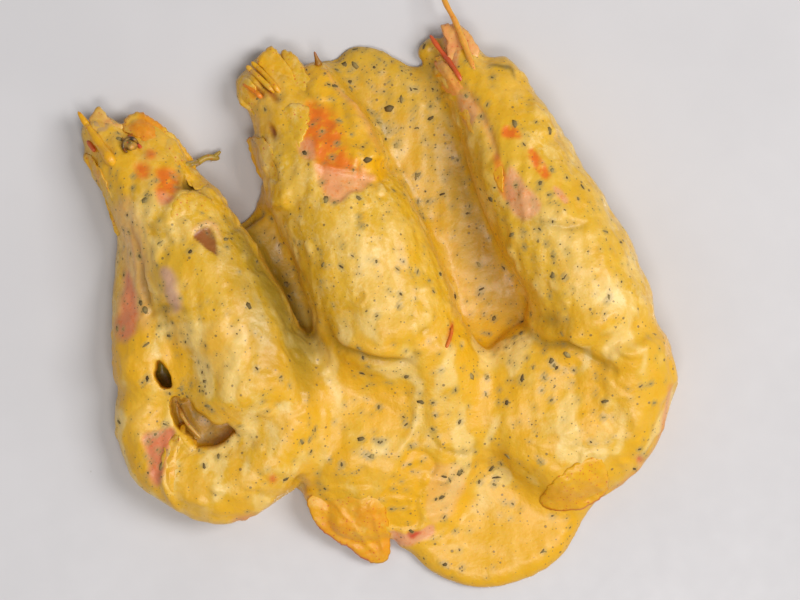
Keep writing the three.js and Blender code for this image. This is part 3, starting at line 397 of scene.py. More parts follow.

# Marks worked into the cream: points, half width, rise (below zero a groove), and paint. The dark and
# brown paint in grooves, slits, hollows and gaps is painted shade.
MARKS = (
    ([(-41, 24.2), (-45.4, 24.2), (-49.4, 21.4), (-50.6, 17), (-49, 12.8)], 1.1, 0.75, {"pale": 0.3}),
    # Painted shade in the dark cavity by the left head.
    ([(-47.6, 25.9), (-45.4, 25.5), (-44.3, 23.9)], 1.6, -1.9, {"brown": 0.7, "deep": 0.9}),
    ([(-45.4, 15.2), (-41.4, 16.8), (-38.8, 13.4)], 0.6, 0.25, {"pink": 0.5, "pale": 0.8}),
    ([(-57.1, 7.5), (-55.7, 2.2), (-54.3, -3.5)], 0.7, -0.9, {"deep": 0.4}),
    ([(-58, 8), (-56.8, 3), (-55.6, -3)], 0.7, 0.2, {"pale": 0.5}),
    ([(-54.6, -2.6), (-51, -1.6), (-47.1, -2.2)], 0.8, -0.7, {"deep": 0.3}),
    ([(-61, 18), (-58.6, 10), (-57.6, 2)], 0.6, 0.2, {"pink": 0.5}),
    ([(-59.6, 17), (-57.2, 9), (-56.4, 1)], 0.5, -0.3, {"brown": 0.3}),
    ([(-58, 20), (-55.6, 13), (-54.6, 6)], 0.8, 0.1, {"pale": 0.6}),
    # A raised pale thread in the hole, its paleness partly a painted highlight along it.
    ([(-48.2, -23.5), (-46.6, -27), (-44.2, -30.4)], 0.7, 1.1, {"pale": 0.7}),
    ([(-57, -23.6), (-55, -25.6)], 2.6, 0.8, {"pale": 0.6}),
    ([(-50.6, -28.2), (-48.6, -29.4), (-46.4, -32), (-44.6, -33)], 0.9, 0.9, {"gold": 0.5}),
    ([(-50.8, -30), (-51.3, -34), (-51.9, -39), (-50.4, -43.6), (-48.6, -46.6)], 0.8, 0.8, {"gold": 0.6}),
    ([(-37, -48.4), (-31.9, -47.3)], 0.6, 0.1, {"red": 0.9}),
    ([(-28.2, -38.4), (-27.4, -40)], 0.9, 0.1, {"red": 0.7}),
    ([(-22.7, -42.6), (-21.6, -39)], 1.0, -0.9, {"deep": 0.4}),
    ([(-30.4, 35.6), (-29.4, 31), (-28.9, 27)], 0.6, -0.7, {"deep": 0.3}),
    # Painted shade in the dark slits of the middle head.
    ([(-28.8, 30.2), (-28.2, 28.4), (-27.4, 26.6)], 0.9, -1.7, {"brown": 1.0, "deep": 0.4}),
    ([(-28.7, 38.4), (-28.3, 37.1), (-27.8, 35.8)], 0.75, -1.2, {"brown": 1.0}),
    ([(-31.4, 49.6), (-29.4, 47), (-26.8, 43.6)], 0.8, -1.3, {"brown": 1.0}),
    ([(-33, 47.8), (-31.4, 46.2), (-29.8, 44.8)], 0.7, -1.0, {"brown": 0.9}),
    ([(-24.6, 53), (-22, 48), (-19, 43)], 0.7, -0.8, {"deep": 0.2}),
    ([(-27, 50), (-24, 46)], 1.2, 0.6, {}),
    ([(-16.4, 51.4), (-13, 46), (-8.6, 40), (-4.6, 32.4)], 0.5, 0.4, {"pink": 0.4}),
    ([(-19.4, 29.9), (-12.1, 28.4), (-5.1, 27)], 0.6, 0.6, {}),
    # Painted shade under the step where the middle trunk overhangs its curl.
    ([(-16.5, -5.5), (-13.6, -10.1), (-8.6, -12.3), (-6.2, -13), (-2.2, -13.6), (1.8, -13.8), (3.3, -11.9)],
     0.9, -1.2, {"deep": 0.5}),
    ([(-13.4, -7.6), (-8.4, -10.4), (-2.2, -11.6), (2, -11.4)], 1.1, 0.5, {"pale": 0.2}),
    ([(-10.6, 1.8), (-9.4, 3), (-7.6, 2.2), (-7.4, 0.2), (-9, -1), (-10.6, 0)], 0.35, 0.3, {"pale": 0.3}),
    ([(5.2, -6.4), (5.8, -7.2)], 1.1, -0.8, {"deep": 0.3}),
    ([(11.4, -4.8), (10.3, -9.5)], 0.5, 0.2, {"red": 0.8}),
    ([(-16.3, -24.2), (-16.6, -30), (-16.1, -35.2)], 0.8, 0.5, {"pale": 0.5}),
    ([(4, -22), (3, -28), (0, -33)], 0.9, 0.5, {"pale": 0.5}),
    ([(7, -30.6), (10, -32.8), (14.6, -33.8), (17, -31)], 0.6, -0.5, {"deep": 0.3}),
    ([(24.9, 18), (30.8, 16.7), (36.3, 15.8), (40.7, 16.7)], 0.9, -0.7, {"deep": 0.25}),
    # Painted shade under the step where the right trunk overhangs its curl, and in the shaded hollow beside
    # it.
    ([(26.6, -3.2), (28.2, -6.9), (31.5, -9.6), (37.6, -10.2), (42.2, -13.3), (47.3, -15.9)],
     1.0, -1.0, {"deep": 0.45}),
    ([(27.2, -1.6), (29.2, -4.6), (33, -7.2), (38, -7.8), (43, -10.6), (47.3, -13.2)], 1.2, 0.5, {}),
    ([(30.8, -3.6), (35, -5.4)], 1.6, -0.5, {"deep": 0.45}),
    ([(53.6, -2), (57.4, -3.2)], 2.2, 0.8, {"pale": 0.3}),
    ([(52.4, -34.8), (53.6, -35.8)], 0.8, -0.5, {"red": 0.8}),
    ([(59, -18.7), (59, -23.1), (57.2, -31.9), (52.8, -37.4), (46.9, -42.5)], 0.7, 0.1,
     {"red": 0.45, "pink": 0.5}),
    ([(22.6, 20.6), (24.9, 14.1), (23.1, 5), (25.6, -0.9)], 1.0, 0.3, {}),
    ([(13.6, 47), (17, 42), (19.6, 36), (21, 31)], 0.9, -0.7, {"pink": 0.5}),
    # Painted sheen: pale bands along the right and middle trunks' crowns.
    ([(29, 24), (37, 10), (43, -1)], 3.4, 0.1, {"pale": 0.4}),
    ([(-13, 18), (-8.6, 8), (-4, -2)], 3.4, 0.1, {"pale": 0.3}),
    ([(19.6, 51.7), (23.8, 50.8), (25.1, 48.4)], 0.45, 0.2, {"deep": 0.9}),
    # Painted shade in the gap between the left and middle prawns, and in the grooves at its lower end.
    ([(-36.7, 15.4), (-33, 18), (-29.3, 19.6)], 1.0, -1.0, {"deep": 0.5}),
    ([(-36, 18), (-30, 8), (-25, -2), (-21.6, -10), (-20, -18)], 3.5, 0.0, {"deep": 0.74, "olive": 0.7}),
    ([(-26, -2), (-23.6, -9), (-21, -15), (-19.4, -22)], 2.6, -0.7, {"deep": 0.4}),
    # Painted shadow that the right prawn casts on the pool to its left.
    ([(10, 44), (12.6, 33), (15.4, 20), (19, 8), (23, -3)], 5.4, 0.0, {"deep": 0.42}),
    # Painted shade on the left trunk's right flank, which faces the middle prawn.
    ([(-40, 14), (-33.6, 3), (-29, -9), (-27, -18)], 3.8, 0.0, {"deep": 0.34}),
)

PATCH_WAVER = ((1.9, 0.35, 35), (4, 0.35, 36))

# What is painted on the vertices, each from 0 to 1. The dark paint is painted shade on the cream, in
# grooves, holes, gaps and low sauce; on the shell it is the dark of the eye and a few feelers.
PAINTS = ("pale", "deep", "red", "pink", "shell", "gold", "tan", "purple", "olive", "film", "calm", "halo",
          "brown")

# Plane waves in a noise.
WAVES = 20

# The cream's own relief: swells, the finest last, lumps drawn out of round by a warp, and fibres.
SWELLS = ((10.0, 0.6, 50), (4.8, 0.35, 51), (2.2, 0.17, 52), (1.1, 0.06, 53))
LUMP_HEIGHT = 0.45
LUMP_WARP = 1.6
FIBRE_HEIGHT = 0.2

# The cream's mesh is relaxed so many times.
RELAXED_TIMES = 2

# A prawn's eye: its ball and the dark ring round it, with the ring's thickness at both ends.
EYE_BALL = 1.45
EYE_RING = 1.6
EYE_RING_THICK = (1.0, 0.7)

# Truffle: how strongly a flake tints the cream round it, the share of flakes under sauce, and the smallest
# flake as a share of the largest.
HALO = 0.8
COATED_SHARE = 0.85
SMALLEST = 0.19

# The plate's profile as (radius, height): foot, underside, the rim's rounding, the way in, and the well.
PLATE_FOOT = ((0.02, 2.5), (60, 2.5), (79, 2.5), (81.4, 2.2), (82.6, 0.7), (83.6, 0), (87.2, 0),
              (88.4, 0.8), (89.6, 2.2), (91.4, 2.5))
PLATE_UNDER = ((93, 2.5), (116, 2.7), (133, 5.2), (143, 11), (148.6, 17.2))
RIM_MIDDLE = (148.15, 18.15)
RIM_RADIUS = 1.85
PLATE_INNER = ((145.6, 16.6), (139.5, 10.8), (131, 7.9), (120, 7.08), (112, 7))
PLATE_WELL = ((90, 7), (60, 7), (30, 7), (0.02, 7))
PLATE_SIDES = 192

# The stage in metres, watts and millimetres of lens. Each light has its place, width, height, power and
# colour, and points at AIM.
TABLE_HALF = 3.0
WORLD_COLOUR = (0.99, 0.985, 1.0, 1)
WORLD_STRENGTH = 0.31
AIM = (0, 0, 0.015)
LIGHTS = {
    "window_right": ((0.64, 0.09, 0.86), 0.42, 0.56, 7.1, (1.0, 0.992, 0.995)),
    "front_overhead": ((0.05, -0.42, 1.15), 0.5, 0.3, 5.0, (1.0, 0.98, 0.97)),
}
CAMERA_HEIGHT = 1.017
CAMERA_LENS = 204.5
SENSOR_WIDTH = 36
NEAREST = 0.05


class DishSizes(bpy.types.PropertyGroup):
    """What a user would change about the dish's measures"""

    coat: FloatProperty(
        name="Coat", description="Thickness of the sauce on a prawn", default=2.2 * METRES, unit="LENGTH")
    cream_step: FloatProperty(
        name="Cream detail", description="Spacing of the cream's mesh",
        default=0.54 * METRES, unit="LENGTH")
    flakes: IntProperty(name="Flakes", description="Number of loose truffle flakes", default=1200)
    flake_size: FloatProperty(
        name="Flake size", description="Half length of the largest flake", default=1.15 * METRES,
        unit="LENGTH")
    seed: IntProperty(name="Seed", description="Start of every random draw", default=7)


class DishColours(bpy.types.PropertyGroup):
    """Colours of the sauce, the shell, the truffle and the plate, in linear light"""

    cream: FloatVectorProperty(
        name="Cream", description="Body of the sauce", subtype="COLOR", default=(0.75, 0.425, 0.018))
    # Pale cream, partly paler sauce and partly a painted sheen where the satin catches the light.
    cream_pale_and_sheen: FloatVectorProperty(
        name="Pale cream", description="Thicker, paler sauce", subtype="COLOR", default=(0.87, 0.60, 0.18))
    cream_rich: FloatVectorProperty(
        name="Rich cream", description="Yellowest streaks", subtype="COLOR", default=(0.74, 0.385, 0.004))
    # Painted shade: the dark cream that is laid where shade falls, in grooves, holes, gaps and low sauce.
    cream_dark_and_shade: FloatVectorProperty(
        name="Deep cream", description="Sauce in hollows", subtype="COLOR", default=(0.20, 0.125, 0.012))
    shell: FloatVectorProperty(
        name="Shell", description="Cooked shell", subtype="COLOR", default=(0.79, 0.165, 0.004))
    shell_gold: FloatVectorProperty(
        name="Golden shell", description="Shell under a film of sauce", subtype="COLOR",
        default=(0.80, 0.405, 0.002))
    shell_red: FloatVectorProperty(
        name="Red shell", description="Edges and spots of the shell", subtype="COLOR",
        default=(0.62, 0.072, 0.022))
    shell_pink: FloatVectorProperty(
        name="Pink shell", description="Palest parts of the shell", subtype="COLOR",
        default=(0.80, 0.36, 0.17))
    shell_tan: FloatVectorProperty(
        name="Tan shell", description="Dry tips of the shell", subtype="COLOR", default=(0.55, 0.33, 0.13))
    shell_purple: FloatVectorProperty(
        name="Purple membrane", description="Bits of membrane in the sauce", subtype="COLOR",
        default=(0.56, 0.32, 0.24))
    # Brown of a dark piece of shell, also laid as painted shade in slits and a cavity.
    shell_brown_and_shade: FloatVectorProperty(
        name="Brown shell", description="A dark piece of shell", subtype="COLOR",
        default=(0.30, 0.075, 0.010))
    truffle: FloatVectorProperty(
        name="Truffle", description="Bare truffle", subtype="COLOR", default=(0.085, 0.053, 0.022))
    truffle_coated: FloatVectorProperty(
        name="Coated truffle", description="Truffle under sauce", subtype="COLOR",
        default=(0.40, 0.295, 0.10))
    truffle_halo: FloatVectorProperty(
        name="Truffle halo", description="Sauce that the truffle has tinted", subtype="COLOR",
        default=(0.38, 0.275, 0.085))
    cream_olive: FloatVectorProperty(
        name="Olive cream", description="Sauce in the shade of a gap", subtype="COLOR",
        default=(0.40, 0.285, 0.02))
    cream_specks: FloatVectorProperty(
        name="Specks", description="Truffle dust in the sauce", subtype="COLOR", default=(0.16, 0.10, 0.04))
    shell_olive: FloatVectorProperty(
        name="Olive fibre", description="Fibres under sauce", subtype="COLOR", default=(0.42, 0.27, 0.03))
    shell_dark: FloatVectorProperty(
        name="Dark shell", description="The eye and its ring", subtype="COLOR",
        default=(0.03, 0.018, 0.012))
    truffle_grain: FloatVectorProperty(
        name="Truffle grain", description="Lighter grain in the truffle", subtype="COLOR",
        default=(0.16, 0.11, 0.06))
    glaze: FloatVectorProperty(
        name="Glaze", description="The plate", subtype="COLOR", default=(0.655, 0.64, 0.645))
    glaze_pits: FloatVectorProperty(
        name="Glaze pits", description="Tiny pits in the glaze", subtype="COLOR",
        default=(0.45, 0.42, 0.38))
    floor: FloatVectorProperty(
        name="Floor", description="The table top", subtype="COLOR", default=(0.80, 0.79, 0.78))


def smoothstep(low, high, value):
    """Cubic easing from 0 at low to 1 at high."""
    share = np.clip((value - low) / (high - low), 0, 1)
    return share * share * (3 - 2 * share)


def blend_three(values, share):
    """From the first to the last of three as share goes from 0 to 1, drawn by the middle one."""
    start, middle, end = values
    return start * (1 - share) ** 2 + 2 * middle * share * (1 - share) + end * share ** 2


def smooth_noise(points, size, seed):
    """The sum of plane waves in random directions, each 1.4 to 3 times `size` long; mostly -1 to 1."""
    random = np.random.default_rng(seed)
    heading = random.normal(size=(WAVES, 3))
    heading *= (2 * np.pi / size / random.uniform(1.4, 3, WAVES) / np.linalg.norm(heading, axis=1))[:, None]
    phase = random.uniform(0, 2 * np.pi, WAVES)
    return 0.42 * np.sin(points @ heading.T + phase).sum(axis=-1) / np.sqrt(WAVES / 2)


def waver(points, parts):
    """The sum of noises, each given by its length, its height and its seed."""
    return sum(tall * smooth_noise(points, long, seed) for long, tall, seed in parts)


def even_points(points, count):
    """`count` points at equal steps along a line of points."""
    points = np.asarray(points, float)
    reach = np.concatenate([[0], np.cumsum(np.linalg.norm(np.diff(points, axis=0), axis=1))])
    at = np.linspace(0, reach[-1], count)
    return np.stack([np.interp(at, reach, column) for column in points.T], axis=1)


def smooth_line(points, count, closed=False):
    """Catmull-Rom curve through points: each span is a cubic that leaves and arrives along the chord
    of its neighbours. Returned at equal steps."""
    points = np.asarray(points, float)
    if closed:
        padded = np.concatenate([points[-1:], points, points[:2]])
    else:
        padded = np.concatenate([2 * points[:1] - points[1:2], points, 2 * points[-1:] - points[-2:-1]])
    share = np.linspace(0, 1, 12, endpoint=False)[:, None, None]
    before, start, end, after = padded[:-3], padded[1:-2], padded[2:-1], padded[3:]
    curve = 0.5 * (
        2 * start + (end - before) * share
        + (2 * before - 5 * start + 4 * end - after) * share ** 2
        + (3 * start - before - 3 * end + after) * share ** 3
    )
    line = curve.transpose(1, 0, 2).reshape(-1, points.shape[1])
    return even_points(np.concatenate([line, padded[-2:-1]]), count)


def nearest_on_line(line, x, y):
    """Distance from each place to a level line, and the share of its length where it is nearest.
    Past an end the distance along the line counts for more, so the end is blunter than round."""
    distance = np.full(np.shape(x), np.inf)
    place = np.zeros(np.shape(x))
    steps = len(line) - 1
    for i in range(steps):
        start = line[i]
        run = line[i + 1] - start
        length = np.hypot(*run)
        along = ((x - start[0]) * run[0] + (y - start[1]) * run[1]) / length
        across = ((y - start[1]) * run[0] - (x - start[0]) * run[1]) / length
        past = np.where(along < 0, along, np.where(along > length, along - length, 0))
        if i == 0:
            past = np.where(along < 0, past / END_LENGTH, past)
        if i == steps - 1:
            past = np.where(along > length, past / END_LENGTH, past)
        reach = np.hypot(across, past)
        closer = reach < distance
        distance = np.where(closer, reach, distance)
        place = np.where(closer, (i + np.clip(along / length, 0, 1)) / steps, place)
    return distance, place


def outline_distance(outline, x, y):
    """Signed distance to a closed outline, below zero inside. Inside is where a ray to +X crosses it an
    odd number of times."""
    distance = np.full(np.shape(x), np.inf)
    inside = np.zeros(np.shape(x), bool)
    for start, end in zip(outline, np.roll(outline, -1, axis=0)):
        run = end - start
        share = np.clip(((x - start[0]) * run[0] + (y - start[1]) * run[1]) / (run @ run), 0, 1)
        reach = np.hypot(x - start[0] - share * run[0], y - start[1] - share * run[1])
        distance = np.minimum(distance, reach)
        spans = (start[1] > y) != (end[1] > y)
        rise = run[1] if run[1] else 1e-9
        crossing = start[0] + (y - start[1]) * run[0] / rise
        inside ^= spans & (x < crossing)
    return np.where(inside, -distance, distance)


def soft_join(first, second, softness):
    """Smooth minimum: the two fields meet in a fillet about as wide as softness."""
    share = np.clip(0.5 + 0.5 * (second - first) / softness, 0, 1)
    return second + (first - second) * share - softness * share * (1 - share)


def trunk_line(trunk):
    """Quadratic curve from head to rear, drawn towards bend, at equal steps."""
    share = np.linspace(0, 1, 80)[:, None]
    ends = [np.array(trunk[key], float) for key in ("head", "bend", "rear")]
    return even_points(blend_three(ends, share), 25)


def trunk_half(trunk, share):
    """Half width: fills out from the beak as a power of a quarter sine wave."""
    swelling = np.sin(np.pi / 2 * np.minimum(1, share / GIRTH_AT))
    return trunk["girth"] * (BEAK_SHARE + (1 - BEAK_SHARE) * swelling ** FILL_OUT)


def trunk_top(trunk, share):
    """Height above the well: rises as a quarter sine wave."""
    low, high = trunk["tops"]
    return low + (high - low) * np.sin(np.pi / 2 * np.minimum(1, share / GIRTH_AT))


def curl_line(curl):
    """Arc of a circle."""
    angle = np.radians(np.linspace(*curl["sweep"], 33))
    middle = np.array(curl["middle"])
    return middle + curl["radius"] * np.stack([np.cos(angle), np.sin(angle)], axis=1)


def bodies_of(prawn):
    """The line, half width and top of a prawn's trunk and curl."""
    trunk, curl = prawn["trunk"], prawn["curl"]
    return [
        (trunk_line(trunk), lambda share: trunk_half(trunk, share), lambda share: trunk_top(trunk, share)),
        (curl_line(curl), lambda share: blend_three(curl["halves"], share),
         lambda share: blend_three(curl["tops"], share)),
    ]


def section(half, top, inset=0):
    """Half width, middle height and rise of a lying body's upright section, less the inset."""
    foot = FOOD_LEVEL - SINK
    crown = WELL_LEVEL + top - inset
    waist = foot + WAIST * (crown - foot)
    return half - inset, waist, crown - waist, UNDERCUT * (waist - foot)


def lying_field(body, x, y, z, inset=0):
    """Field of a body lying on the plate: how far outside an upright oval the place is, whose half
    width and top follow the share along the body's line."""
    line, half, top = body
    distance, share = nearest_on_line(line, x, y)
    width, waist, rise, drop = section(half(share), top(share), inset)
    width = np.maximum(width, 0.05)[..., None]
    level = z - waist[..., None]
    upright = np.where(level > 0, level / rise[..., None], level / drop[..., None])
    reach = np.sqrt((distance[..., None] / width) ** 2 + upright ** 2)
    return (reach - 1) * np.minimum(width, rise[..., None])


class Shape:
    """Vertices in millimetres with quads, triangles and painted values from 0 to 1."""

    def __init__(self):
        self.points, self.quads, self.triangles, self.paint = [], [], [], []
        self.count = 0

    def add(self, points, quads, triangles=(), **paint):
        points = np.asarray(points, float).reshape(-1, 3)
        values = np.zeros((len(points), len(PAINTS)))
        for name, value in paint.items():
            values[:, PAINTS.index(name)] = np.broadcast_to(np.asarray(value, float), len(points))
        self.points.append(points)
        self.quads.append(np.asarray(quads, int).reshape(-1, 4) + self.count)
        self.triangles.append(np.asarray(triangles, int).reshape(-1, 3) + self.count)
        self.paint.append(values)
        self.count += len(points)

    def make(self, name, material, slot, replaced=()):
        """A smooth mesh object at the origin that rides on the dish."""
        points = np.concatenate(self.points) * METRES
        quads, triangles = np.concatenate(self.quads), np.concatenate(self.triangles)
        mesh = bpy.data.meshes.new(name)
        mesh.vertices.add(len(points))
        mesh.vertices.foreach_set("co", points.ravel())
        mesh.loops.add(quads.size + triangles.size)
        mesh.loops.foreach_set("vertex_index", np.concatenate([quads.ravel(), triangles.ravel()]))
        mesh.polygons.add(len(quads) + len(triangles))
        starts = np.concatenate([4 * np.arange(len(quads)), quads.size + 3 * np.arange(len(triangles))])
        mesh.polygons.foreach_set("loop_start", starts)
        mesh.update(calc_edges=True)
        mesh.validate()
        mesh.polygons.foreach_set("use_smooth", np.ones(len(mesh.polygons), bool))
        paint = np.concatenate(self.paint)
        for column, key in enumerate(PAINTS):
            mesh.attributes.new(key, "FLOAT", "POINT").data.foreach_set("value", paint[:, column])
        mesh.materials.append(material)
        piece = bpy.data.objects.new(name, mesh)
        bpy.context.scene.collection.objects.link(piece)
        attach(piece, "root")
        if replaced:
            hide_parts(*replaced)
        return piece


def grid_quads(rows, columns, wrap=True):
    """Quads over rows of points, each row a ring if wrap."""
    across = columns if wrap else columns - 1
    row, column = np.meshgrid(np.arange(rows - 1), np.arange(across), indexing="ij")
    after = (column + 1) % columns
    quads = [row * columns + column, row * columns + after, (row + 1) * columns + after,
             (row + 1) * columns + column]
    return np.stack(quads, axis=-1).reshape(-1, 4)


def faces_out(points, quads, triangles):
    """The faces of a closed shell, turned round if its volume is negative."""
    halves = np.concatenate([quads[:, [0, 1, 2]], quads[:, [0, 2, 3]], triangles])
    first, second, third = (points[halves[:, corner]] for corner in range(3))
    volume = np.sum(first * np.cross(second, third))
    if volume < 0:
        return quads[:, ::-1], triangles[:, ::-1]
    return quads, triangles


def closed_rings(rings):
    """Points, quads and end fans of a tube of rings, closed at each end round the ring's middle."""
    rows, columns = rings.shape[:2]
    points = np.concatenate([rings.reshape(-1, 3), rings[:1].mean(axis=1), rings[-1:].mean(axis=1)])
    column = np.arange(columns)
    after = (column + 1) % columns
    last = (rows - 1) * columns
    first_fan = np.stack([np.full(columns, len(points) - 2), after, column], axis=1)
    last_fan = np.stack([np.full(columns, len(points) - 1), last + column, last + after], axis=1)
    quads, fans = faces_out(points, grid_quads(rows, columns), np.concatenate([first_fan, last_fan]))
    return points, quads, fans


def level_frames(line):
    """Unit vectors along a line and level across it, to its left."""
    along = np.gradient(line, axis=0)
    along /= np.linalg.norm(along, axis=1, keepdims=True)
    across = np.stack([-along[:, 1], along[:, 0]], axis=1)
    across /= np.linalg.norm(across, axis=1, keepdims=True)
    return along, across


def body_rings(body, inset, sides=40, caps=8):
    """A lying body's skin. Round each ring: across = width cos a, up = rise sin a, less steep below the
    waist and never under the food's level. Towards an end the rings shrink like a quarter circle."""
    line, half, top = body
    share = np.linspace(0, 1, len(line))
    slope = np.linspace(np.pi / 2 * 0.97, 0, caps, endpoint=False)
    slopes = np.concatenate([-slope, np.zeros(len(line)), slope[::-1]])
    share = np.concatenate([np.zeros(caps), share, np.ones(caps)])
    along, across = level_frames(line)
    pick = np.concatenate([np.zeros(caps, int), np.arange(len(line)), np.full(caps, len(line) - 1)])
    width, waist, rise, drop = section(half(share), top(share), inset)
    push = (np.sin(slopes) * np.maximum(width, THINNEST) * END_LENGTH)[:, None]
    middle = line[pick] + along[pick] * push
    shrink = np.cos(slopes)[:, None]
    angle = np.linspace(0, 2 * np.pi, sides, endpoint=False)
    sideways = np.maximum(width, THINNEST)[:, None] * shrink * np.cos(angle)
    upward = np.where(np.sin(angle) > 0, rise[:, None], drop[:, None]) * shrink * np.sin(angle)
    height = np.maximum(waist[:, None] + upward, FOOD_LEVEL)
    # The line's left is across, so the angle runs from left over the top to the right: turned round.
    level = middle[:, None, :] + across[pick][:, None, :] * sideways[..., None]
    rings = np.concatenate([level, height[..., None]], axis=2)
    return rings[:, ::-1]


def top_of(cream):
    """Samples the height of the cream's top: the highest vertex in each cell, blurred, read bilinearly."""
    places = np.empty(3 * len(cream.data.vertices))
    cream.data.vertices.foreach_get("co", places)
    places = places.reshape(-1, 3) / METRES
    index = ((places[:, :2] + MAP_HALF) / MAP_CELL).astype(int)
    count = int(2 * MAP_HALF / MAP_CELL)
    grid = np.full((count, count), WELL_LEVEL)
    np.maximum.at(grid, (index[:, 0], index[:, 1]), places[:, 2])
    for _ in range(2):
        grid = (2 * grid + np.roll(grid, 1, 0) + np.roll(grid, -1, 0)) / 4
        grid = (2 * grid + np.roll(grid, 1, 1) + np.roll(grid, -1, 1)) / 4

    def height(x, y):
        u, v = (x + MAP_HALF) / MAP_CELL - 0.5, (y + MAP_HALF) / MAP_CELL - 0.5
        i, j = np.floor(u).astype(int), np.floor(v).astype(int)
        u, v = u - i, v - j
        near = grid[i, j] * (1 - u) + grid[i + 1, j] * u
        far = grid[i, j + 1] * (1 - u) + grid[i + 1, j + 1] * u
        return near * (1 - v) + far * v

    return height


def leaf_rings(leaf, top, rows=18, columns=110):
    """A leaf of shell from its outline: each ring is the outline drawn in to the middle, over the top
    and back along the underside. It lies on the cream, or on its own slope where that is higher, and
    stands up from its edge as 1 - r^14, with low ridges along it. It merges with the cream at its base."""
    outline = smooth_line(leaf["outline"], columns + 1, closed=True)[:-1]
    place = np.c_[outline, outline[:, 0]]
    outline = outline + LEAF_JAG * np.stack([smooth_noise(place, 0.9, seed) for seed in (8, 9)], axis=1)
    middle = outline.mean(axis=0)
    reach = np.concatenate([np.linspace(0.02, 1, rows) ** 0.7, np.linspace(1, 0.02, rows)[1:] ** 0.7])
    side = np.concatenate([np.ones(rows - 1), [0.0], -np.ones(rows - 1)])[:, None]
    flat = middle + (outline - middle) * reach[:, None, None]
    x, y = flat[..., 0], flat[..., 1]
    lying = top(x, y)
    if "heights" in leaf:
        lying = np.maximum(lying, WELL_LEVEL + ramp_between(leaf["from_to"], leaf["heights"], x, y))
    place = np.stack([x, y, 0 * x], axis=-1)
    rise = waver(place, LEAF_WAVER)
    for ridge in leaf.get("ridges", ()):
        distance = nearest_on_line(np.array(ridge, float), x, y)[0]
        rise = rise + 0.3 * np.exp(-(distance / 0.6) ** 2)
    body = 1 - reach[:, None] ** 14
    sunk = ramp_between(leaf["from_to"], (0, 1), x, y) ** leaf.get("fade", 1.6)
    lens = np.where(side > 0, (leaf["lift"] + rise) * (1 - sunk) * body, -LEAF_THICK * body)
    lens = lens - BASE_SINK * sunk - EDGE_SINK
    height = np.maximum(lying + lens, FOOD_LEVEL)
    return np.concatenate([flat, height[..., None]], axis=2), np.broadcast_to(reach[:, None], x.shape)


def rod_rings(points, heights, thick, top, rows=40, sides=12):
    """A tapered rod: circles square to a smooth curve, with a slight waver. It keeps to its heights, or
    rides on the cream where that is higher."""
    points = np.array(points, float)
    line = smooth_line(points, rows) if len(points) > 2 else even_points(points, rows)
    share = np.linspace(0, 1, rows)
    radius = (thick[0] + (thick[1] - thick[0]) * share) / 2
    height = WELL_LEVEL + heights[0] + (heights[1] - heights[0]) * share
    height = np.maximum(height, top(line[:, 0], line[:, 1]) + 0.5 * radius)
    height = height - 3.2 * radius * smoothstep(0.34, 0, share)
    line = np.column_stack([line, height])
    along = np.gradient(line, axis=0)
    along /= np.linalg.norm(along, axis=1, keepdims=True)
    across = np.cross((0, 0, 1), along)
    across /= np.linalg.norm(across, axis=1, keepdims=True)
    upward = np.cross(along, across)
    radius = radius * np.sqrt(np.clip(1 - ((share - 0.5) / 0.501) ** 16, 0, 1))
    radius = radius * (0.4 + 0.6 * smoothstep(0, 0.35, share)) * (1 + 0.2 * smooth_noise(line, 1.6, 3))
    radius = radius[:, None]
    angle = np.linspace(0, 2 * np.pi, sides, endpoint=False)
    turn = across[:, None] * np.cos(angle)[:, None] + upward[:, None] * np.sin(angle)[:, None]
    return line[:, None] + turn * radius[..., None]


def ball_rings(middle, radius, rows=20, sides=24):
    """A sphere: circles of radius sin a at height -cos a."""
    tilt = np.linspace(0.02, np.pi - 0.02, rows)
    angle = np.linspace(0, 2 * np.pi, sides, endpoint=False)
    flat = np.sin(tilt)[:, None]
    rings = np.stack([flat * np.cos(angle), flat * np.sin(angle), -np.cos(tilt)[:, None] + 0 * angle], -1)
    return np.array(middle) + radius * rings


def skin_of(field, origin, step):
    """Surface nets. Each cell that the zero level passes through gets one vertex, at the mean of the
    crossings on its edges, and each crossed grid edge gets the quad of the four cells round it."""
    inside = field < 0
    size = np.array(field.shape) - 1
    filled = np.zeros(size, np.int8)
    for i, j, k in np.ndindex(2, 2, 2):
        filled += inside[i:size[0] + i, j:size[1] + j, k:size[2] + k]
    cells = np.argwhere((filled > 0) & (filled < 8))
    number = np.full(size, -1)
    number[tuple(cells.T)] = np.arange(len(cells))
    total, hits = np.zeros((len(cells), 3)), np.zeros(len(cells))
    quads = []
    for axis in range(3):
        ahead = np.eye(3, dtype=int)[axis]
        others = [n for n in range(3) if n != axis]
        for first, second in np.ndindex(2, 2):
            corner = np.zeros(3, int)
            corner[others[0]], corner[others[1]] = first, second
            low = field[tuple((cells + corner).T)]
            high = field[tuple((cells + corner + ahead).T)]
            crossed = (low < 0) != (high < 0)
            share = np.where(crossed, low / np.where(crossed, low - high, 1), 0)
            total += crossed[:, None] * (corner + ahead * share[:, None])
            hits += crossed
        low = inside.take(range(size[axis]), axis=axis)
        high = inside.take(range(1, size[axis] + 1), axis=axis)
        edges = np.argwhere(low != high)
        one, two = np.eye(3, dtype=int)[others[0]], np.eye(3, dtype=int)[others[1]]
        keep = (edges[:, others[0]] > 0) & (edges[:, others[1]] > 0)
        keep &= (edges[:, others[0]] < size[others[0]]) & (edges[:, others[1]] < size[others[1]])
        edges = edges[keep]
        ring = [number[tuple((edges - offset).T)] for offset in (0 * one, one, one + two, two)]
        ring = np.stack(ring, axis=1)
        outward = low[tuple(edges.T)] != (axis == 1)
        quads.append(np.where(outward[:, None], ring, ring[:, ::-1]))
    points = origin + step * (cells + total / hits[:, None])
    return points, np.concatenate(quads)


